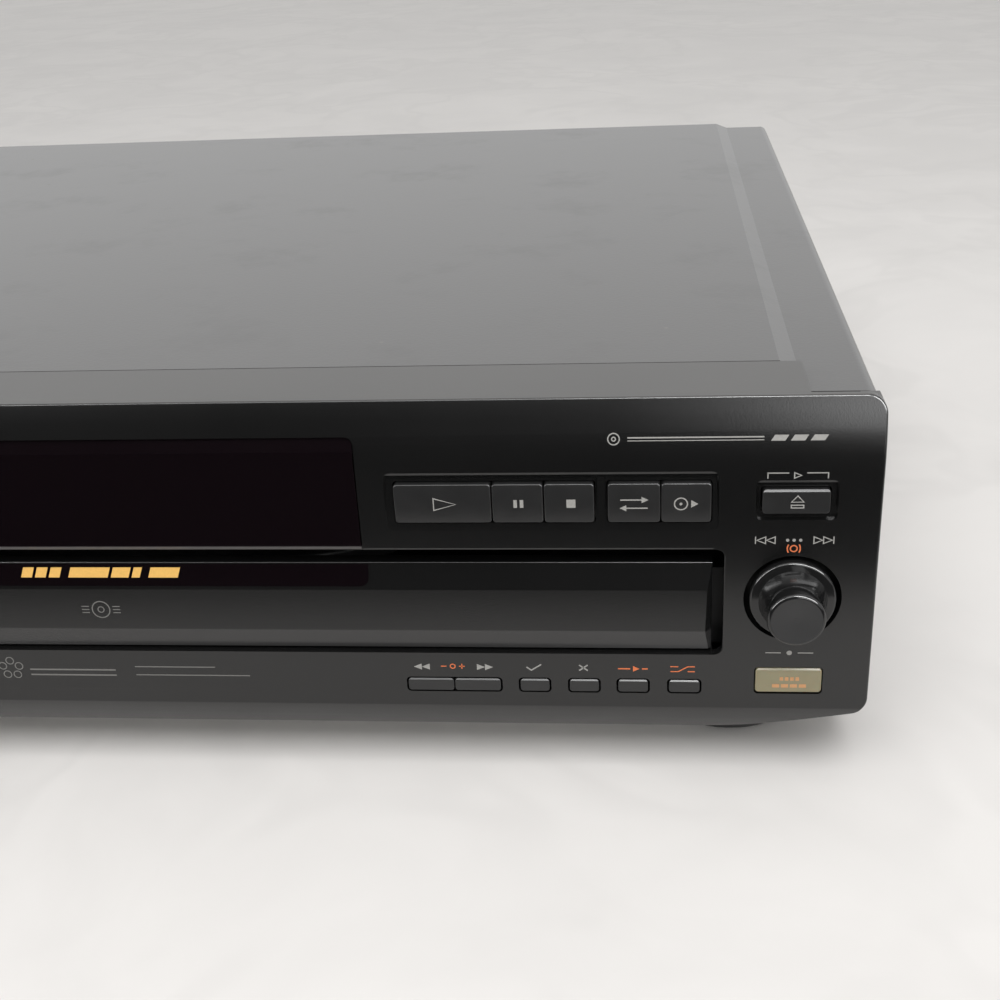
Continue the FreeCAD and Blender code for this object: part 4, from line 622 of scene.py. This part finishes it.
def key_face(node):
    """A key's face: flat, or crowned from top to bottom on the long keys."""
    (_, depth, low), (_, _, high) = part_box(node)
    if node not in CROWNED:
        return lambda height: depth
    half = KEY_TALL / 2
    radius = (half ** 2 + KEY_CROWN ** 2) / (2.0 * KEY_CROWN)
    middle = (low + high) / 2
    return lambda height: depth + radius - math.sqrt(radius ** 2 - (height - middle) ** 2)


class MarkOperator:
    """What the operators of printed marks share."""

    def sheet(self, context, face):
        settings = context.scene.changer_print
        return Plates(face, settings.thick, settings.line)


class CHANGER_OT_panel_marks(bpy.types.Operator, MarkOperator):
    """Print the marks on the front panel"""
    bl_idname = "changer.panel_marks"
    bl_label = "Panel marks"

    def execute(self, context):
        inks = context.scene.changer_print
        grey, orange, dim = (self.sheet(context, flat_front) for _ in range(3))

        # On the brow: a small disc, a pinstripe and three slanting bars.
        for radius in (1.5, 0.5):
            grey.ring(145.4, 104.6, radius, 0.3)
        grey.bar(166.5, 104.9, 35.0, 0.35)
        grey.bar(166.5, 104.1, 35.0, 0.2)
        for place in range(3):
            grey.bar(188.0 + 5.0 * place, 104.6, 3.6, 1.5, 0.5)

        # Over the open and close key: an arrow between two hooks.
        grey.stroke([(185.2, 93.4), (185.2, 95.0), (190.6, 95.0)])
        grey.stroke([(200.6, 93.4), (200.6, 95.0), (195.2, 95.0)])
        grey.arrow(192.9, 94.3, 1.8, 1.6, 1, True)

        # Round the jog knob: skip arrows, three dots, a disc in brackets and a dot between dashes.
        for side in (-1, 1):
            far = 192.8 + side * 10.2
            grey.bar(far, 75.4, 0.3, 2.2)
            for step in (1, 2):
                grey.arrow(far - side * (2.5 * step - 1.0), 75.4, 2.3, 2.0, side, True)
        for place in (-1, 0, 1):
            grey.dot(192.7 + 1.7 * place, 75.4, 0.45)
        orange.ring(192.7, 72.9, 0.9, 0.35)
        orange.ring(193.4, 72.9, 2.4, 0.35, 150.0, 210.0)
        orange.ring(192.0, 72.9, 2.4, 0.35, -30.0, 30.0)
        grey.stroke([(186.4, 40.4), (190.6, 40.4)])
        grey.stroke([(195.2, 40.4), (199.4, 40.4)])
        grey.dot(192.9, 40.4, 0.75)

        # Over the small keys: winding arrows, a scale, a tick, a cross and two orange signs.
        for middle, side in ((90.1, -1), (108.2, 1)):
            for step in (-0.5, 0.5):
                grey.arrow(middle + 2.3 * step, 35.0, 2.3, 2.0, side)
        orange.stroke([(95.6, 35.2), (97.2, 35.2)])
        orange.ring(99.0, 35.2, 0.7, 0.3)
        orange.stroke([(100.8, 35.2), (102.4, 35.2)])
        orange.stroke([(101.6, 34.4), (101.6, 36.0)])
        grey.stroke([(120.0, 35.1), (121.4, 34.1), (124.2, 36.0)], width=0.4)
        grey.stroke([(134.9, 34.1), (137.3, 35.9)], width=0.4)
        grey.stroke([(134.9, 35.9), (137.3, 34.1)], width=0.4)
        orange.bar(147.5, 34.8, 3.4, 0.4)
        orange.arrow(150.9, 34.8, 1.8, 1.8, 1)
        orange.bar(153.3, 34.8, 1.6, 0.4)
        orange.stroke([(160.4, 34.0), (162.6, 34.0), (165.2, 35.6), (167.2, 35.6)])
        orange.stroke([(160.4, 35.6), (162.6, 35.6)])
        orange.stroke([(165.2, 34.0), (167.2, 34.0)])

        # Under the drawer: a ring of five discs and pinstripes.
        for place in range(5):
            angle = math.radians(90.0 + 72.0 * place)
            dim.ring(-32.2 + 2.6 * math.cos(angle), 33.3 + 2.6 * math.sin(angle), 1.15, 0.3)
        dim.bar(-13.5, 33.0, 26.0, 0.5)
        dim.bar(-13.5, 31.2, 26.0, 0.5)
        dim.bar(17.5, 34.2, 24.0, 0.35)
        dim.bar(22.5, 31.4, 34.0, 0.35)

        # At the left end: power, a scale round the level knob, headphones and key lines.
        grey.ring(-192.8, 94.5, 1.3, 0.3, 130.0, 410.0)
        grey.stroke([(-192.8, 94.7), (-192.8, 96.0)])
        for step in range(11):
            angle = math.radians(240.0 - 30.0 * step)
            near, far = 11.0, 12.3 if step % 5 else 13.0
            grey.stroke([(-193.0 + reach * math.cos(angle), 57.6 + reach * math.sin(angle))
                         for reach in (near, far)], width=0.35)
        grey.ring(-193.0, 39.6, 1.5, 0.35, 0.0, 180.0)
        for side in (-1, 1):
            grey.bar(-193.0 + 1.5 * side, 39.2, 0.8, 1.3)
        for middle in (-156.9, -128.65, -100.4):
            grey.bar(middle, 97.6, 6.0, 0.3)

        for plates, name, title, shade in (
            (grey, "panel_marks_grey", "grey_ink", tuple(inks.grey)),
            (dim, "panel_marks_dim", "faded_ink", tint(tuple(inks.grey), FADED)),
            (orange, "panel_marks_orange", "orange_ink", tuple(inks.orange)),
        ):
            plates.make(name, ink(title, shade), "cabinet", "black_plastic")
        return {"FINISHED"}


class CHANGER_OT_door_marks(bpy.types.Operator, MarkOperator):
    """Print the marks on the drawer's door"""
    bl_idname = "changer.door_marks"
    bl_label = "Door marks"

    def execute(self, context):
        inks = context.scene.changer_print

        # A glossy inlay with two round lower corners.
        inlay = Plates(door_face, INLAY, inks.line)
        half, low, high, corner = 77.0, 60.3, 66.9, 2.7
        side, centre = half - corner, low + corner
        turns = [math.radians(angle) for angle in range(0, 91, 15)]
        inlay.fill((-half, high),
                   *((-side - corner * math.cos(turn), centre - corner * math.sin(turn))
                     for turn in turns),
                   *((side + corner * math.sin(turn), centre - corner * math.cos(turn))
                     for turn in turns),
                   (half, high))
        glossy = NODES["display_window"].data.materials[0]
        inlay.make("door_inlay", glossy, "drawer", "window_plastic")

        # Slanting stripes on the inlay, each with the gap after it.
        amber = self.sheet(context, inlay_face)
        left = -23.4
        for wide, gap in ((3.2, 0.9), (3.2, 0.9), (3.2, 2.6), (11.6, 0.9), (5.2, 0.9), (2.4, 2.5),
                          (8.6, 0.0)):
            amber.bar(left + wide / 2, 64.3, wide, 3.0, 0.5)
            left += wide + gap
        amber.make("door_stripes", ink("amber_ink", tuple(inks.amber)), "drawer", "black_plastic")

        # A disc between short lines below them.
        emblem = self.sheet(context, door_face)
        across, height = -1.8, 52.7
        emblem.ring(across, height, 2.6, 0.35)
        emblem.ring(across, height, 0.9, 0.3)
        for way in (-1, 1):
            for rise in (-1.0, 0.0, 1.0):
                emblem.bar(across + 4.6 * way, height + rise, 2.2, 0.3)
        dim = ink("dim_ink", tint(tuple(inks.grey), DIM))
        emblem.make("door_emblem", dim, "drawer", "black_plastic")
        return {"FINISHED"}


class CHANGER_OT_key_marks(bpy.types.Operator, MarkOperator):
    """Print the symbols on the keys"""
    bl_idname = "changer.key_marks"
    bl_label = "Key symbols"

    def execute(self, context):
        inks = context.scene.changer_print
        grey = ink("key_ink", tuple(inks.grey))
        for name, draw in KEY_SYMBOLS.items():
            low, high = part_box(name)
            plates = self.sheet(context, key_face(name))
            draw(plates, (low[0] + high[0]) / 2 / MM, (low[2] + high[2]) / 2 / MM)
            plates.make(name + "_symbol", grey, name, "key_plastic")

        # Two rows of four bars on the lit key.
        lit = self.sheet(context, key_face("lit_button"))
        for height, wide in ((32.2, 5.8), (29.9, 9.8)):
            for place in range(4):
                lit.bar(193.2 + wide * (place - 1.5) / 4, height, wide / 4 - 0.5, 1.1)
        pale = ink("pale_ink", tuple(inks.pale))
        lit.make("lit_button_symbol", pale, "lit_button", "lit_plastic")
        return {"FINISHED"}


def play_symbol(plates, x, z):
    plates.arrow(x + 0.6, z, 6.0, 3.5, 1, True)


def pause_symbol(plates, x, z):
    for side in (-1, 1):
        plates.bar(x + 0.25 + 0.85 * side, z + 0.1, 0.95, 2.3)


def stop_symbol(plates, x, z):
    plates.bar(x + 0.5, z + 0.1, 2.4, 2.4)


def swap_symbol(plates, x, z):
    for side, rise in ((1, 1.1), (-1, -1.3)):
        plates.bar(x - 0.8 * side, z + rise, 5.6, 0.35)
        plates.arrow(x + 2.9 * side, z + rise, 1.8, 1.8, side)


def skip_symbol(plates, x, z):
    plates.ring(x - 1.4, z - 0.1, 1.7, 0.35)
    plates.dot(x - 1.4, z - 0.1, 0.4)
    plates.arrow(x + 2.2, z - 0.1, 1.9, 2.2, 1)


def eject_symbol(plates, x, z):
    plates.stroke([(x - 1.3, z), (x + 1.9, z), (x + 0.3, z + 1.8)], True)
    plates.stroke([(x - 1.3, z - 1.7), (x + 1.9, z - 1.7),
                   (x + 1.9, z - 0.9), (x - 1.3, z - 0.9)], True)


def list_symbol(plates, x, z):
    for rise in (-1.4, 0.0, 1.4):
        plates.dot(x - 2.6, z + rise, 0.35)
        plates.bar(x + 0.6, z + rise, 4.6, 0.35)


def shuffle_symbol(plates, x, z):
    for side in (-1, 1):
        plates.stroke([(x - 3.0, z - 1.2 * side), (x - 1.4, z - 1.2 * side),
                       (x + 0.8, z + 1.2 * side), (x + 1.8, z + 1.2 * side)])
        plates.arrow(x + 2.6, z + 1.2 * side, 1.6, 1.6, 1)


def continue_symbol(plates, x, z):
    plates.bar(x - 1.0, z, 5.4, 0.35)
    plates.arrow(x + 2.5, z, 1.9, 2.0, 1)


def power_symbol(plates, x, z):
    plates.bar(x, z, 3.4, 0.35)


KEY_SYMBOLS = {
    "play_button": play_symbol,
    "pause_button": pause_symbol,
    "stop_button": stop_symbol,
    "exchange_button": swap_symbol,
    "disc_skip_button": skip_symbol,
    "open_close_button": eject_symbol,
    "program_button": list_symbol,
    "shuffle_button": shuffle_symbol,
    "continue_button": continue_symbol,
    "power_button": power_symbol,
}


# ---------------------------------------------------------------- studio

def plane(name, corners):
    """A flat piece of the stage."""
    mesh = bpy.data.meshes.new(name)
    mesh.from_pydata(corners, [], [range(len(corners))])
    piece = bpy.data.objects.new(name, mesh)
    bpy.context.scene.collection.objects.link(piece)
    return piece


def floor_stone(settings):
    """Pale honed stone with broad faint veins."""
    base = tuple(settings.floor)
    stone = Finish("floor_stone", Specular_IOR_Level=0.08)
    wander = stone.node("ShaderNodeTexNoise", {}, {
        "Vector": stone.place, "Scale": 4.0, "Detail": 3.0}, "Color")
    drift = stone.node("ShaderNodeVectorMath", {"operation": "SCALE"}, {0: wander, "Scale": 0.25})
    bend = stone.vector("ADD", stone.place, drift)
    cloud = stone.noise(0.12, 4.0, 0.6, bend)
    vein = 1.0 - stone.steps(abs(stone.noise(0.16, 3.0, 0.6, bend) - 0.5), 0.0, 0.05)
    shade = stone.mix(stone.steps(cloud, 0.3, 0.75), tint(base, 0.955), tint(base, 1.03))
    stone.set(Base_Color=stone.mix(vein * 0.35, shade, tint(base, 0.90)),
              Roughness=0.42 + 0.1 * cloud)
    return stone.material


def soft_light(name, power, start, end, target, tall):
    """A rectangle of light along a line, turned to face a place."""
    start, end = Vector(start), Vector(end)
    lamp = bpy.data.lights.new(name, "AREA")
    lamp.shape = "RECTANGLE"
    lamp.size, lamp.size_y, lamp.energy = (end - start).length, tall, power
    piece = bpy.data.objects.new(name, lamp)
    middle = (start + end) / 2
    along = (end - start).normalized()
    up = (middle - Vector(target)).cross(along).normalized()
    turn = Matrix((along, up, along.cross(up))).transposed()
    piece.matrix_world = Matrix.Translation(middle) @ turn.to_4x4()
    bpy.context.scene.collection.objects.link(piece)
    return piece


def gleam_light(name, power, **shape):
    """A narrow light that only shows as a glint on glossy edges."""
    piece = soft_light(name, power, **shape)
    for ray in ("diffuse", "transmission", "volume_scatter"):
        setattr(piece, "visible_" + ray, False)


class CHANGER_OT_studio(bpy.types.Operator):
    """Set up the floor, the lights and the camera"""
    bl_idname = "changer.studio"
    bl_label = "Studio"

    def execute(self, context):
        settings = context.scene.changer_studio
        reach = 4.0
        floor = plane("floor", [(-reach, -reach, 0.0), (reach, -reach, 0.0),
                                (reach, reach, 0.0), (-reach, reach, 0.0)])
        dress(floor, floor_stone(settings))
        self.dark_cards()
        self.world(context.scene, settings)
        right_end = (0.19, -0.18, 0.1)
        soft_light("top_light", settings.top_power,
                   start=(-0.5, -0.75, 1.2), end=(0.9, -0.75, 1.2),
                   target=(0.1, -0.3, 0.0), tall=1.0)
        soft_light("side_light", settings.side_power,
                   start=(0.345, -1.62, 0.475), end=(1.139, -1.31, 0.475),
                   target=right_end, tall=0.62)
        gleam_light("gleam_right", settings.gleam_power,
                    start=(0.12, -0.99, 1.32), end=(1.44, -0.90, 0.45),
                    target=right_end, tall=0.30)
        gleam_light("gleam_left", settings.gleam_power / 2,
                    start=(-0.57, -0.92, 1.2), end=(-1.25, -0.67, 0.2),
                    target=right_end, tall=0.25)
        self.camera(context.scene, settings)
        return {"FINISHED"}

    def dark_cards(self):
        """Black cards that only glossy parts see: on the floor, behind the camera and overhead."""
        card = Finish("black_card", Base_Color=(0.002, 0.002, 0.002), Roughness=0.9,
                      Specular_IOR_Level=0.0)
        near, far, high, rise = -0.285, -1.9, 2.6, 0.001
        wide, right, over = 2.6, 0.50, -0.2
        for name, corners in (
            ("floor_card", [(-wide, far, rise), (right, far, rise), (0.36, -0.70, rise),
                            (0.8, -0.42, rise), (0.8, near, rise), (-wide, near, rise)]),
            ("upright_card", [(-wide, far, 0.0), (right, far, 0.0),
                              (right, far, high), (-wide, far, high)]),
            ("overhead_card", [(-wide, far, high), (wide, far, high),
                               (wide, over, high), (-wide, over, high)]),
        ):
            piece = plane(name, corners)
            dress(piece, card.material)
            for ray in ("camera", "diffuse", "shadow", "transmission", "volume_scatter"):
                setattr(piece, "visible_" + ray, False)

    def world(self, scene, settings):
        """Even light from all round, which the camera and glossy parts see as white."""
        world = bpy.data.worlds.new("studio_world")
        world.use_nodes = True
        sky = Nodes(world.node_tree)
        seen, glossy, through = (sky.node("ShaderNodeLightPath", {}, {}, f"Is {ray} Ray")
                                 for ray in ("Camera", "Glossy", "Transmission"))
        white = {"Color": (1.0, 1.0, 1.0)}
        fill = sky.node("ShaderNodeBackground", {}, {**white, "Strength": settings.fill})
        backdrop = sky.node("ShaderNodeBackground", {}, {**white, "Strength": settings.backdrop})
        either = seen.most(glossy).most(through)
        choice = sky.node("ShaderNodeMixShader", {}, {0: either, 1: fill, 2: backdrop})
        sky.plug(choice, world.node_tree.nodes["World Output"].inputs["Surface"])
        scene.world = world

    def camera(self, scene, settings):
        """The camera, set by its place and the directions of its view."""
        lens = bpy.data.cameras.new("camera")
        lens.lens = settings.lens
        lens.sensor_width = 36.0
        piece = bpy.data.objects.new("camera", lens)
        right, up = Vector(CAMERA_RIGHT), -Vector(CAMERA_DOWN)
        turn = Matrix((right, up, right.cross(up))).transposed()
        piece.matrix_world = Matrix.Translation(CAMERA_PLACE) @ turn.to_4x4()
        scene.collection.objects.link(piece)
        scene.camera = piece
        scene.view_settings.view_transform = "Standard"


class CHANGER_PT_panel(bpy.types.Panel):
    """Lists the steps that dress the changer"""
    bl_label = "Disc changer"
    bl_idname = "CHANGER_PT_panel"
    bl_space_type = "VIEW_3D"
    bl_region_type = "UI"
    bl_category = "Changer"

    def draw(self, context):
        for step in STEPS:
            self.layout.operator(step.bl_idname)
        for group in GROUPS:
            for name in GROUPS[group].__annotations__:
                self.layout.prop(getattr(context.scene, group), name)


STEPS = (CHANGER_OT_finishes, CHANGER_OT_panel_marks, CHANGER_OT_door_marks,
         CHANGER_OT_key_marks, CHANGER_OT_studio)
GROUPS = {"changer_finish": ChangerFinish, "changer_print": ChangerPrint,
          "changer_studio": ChangerStudio}


def register():
    for item in (*GROUPS.values(), *STEPS, CHANGER_PT_panel):
        bpy.utils.register_class(item)
    for name, group in GROUPS.items():
        setattr(bpy.types.Scene, name, PointerProperty(type=group))


def unregister():
    for name in GROUPS:
        delattr(bpy.types.Scene, name)
    for item in reversed((*GROUPS.values(), *STEPS, CHANGER_PT_panel)):
        bpy.utils.unregister_class(item)


def main():
    """Dress the part step by step."""
    register()
    for step in STEPS:
        module, name = step.bl_idname.split(".")
        getattr(getattr(bpy.ops, module), name)()


if __name__ == "__main__":
    main()
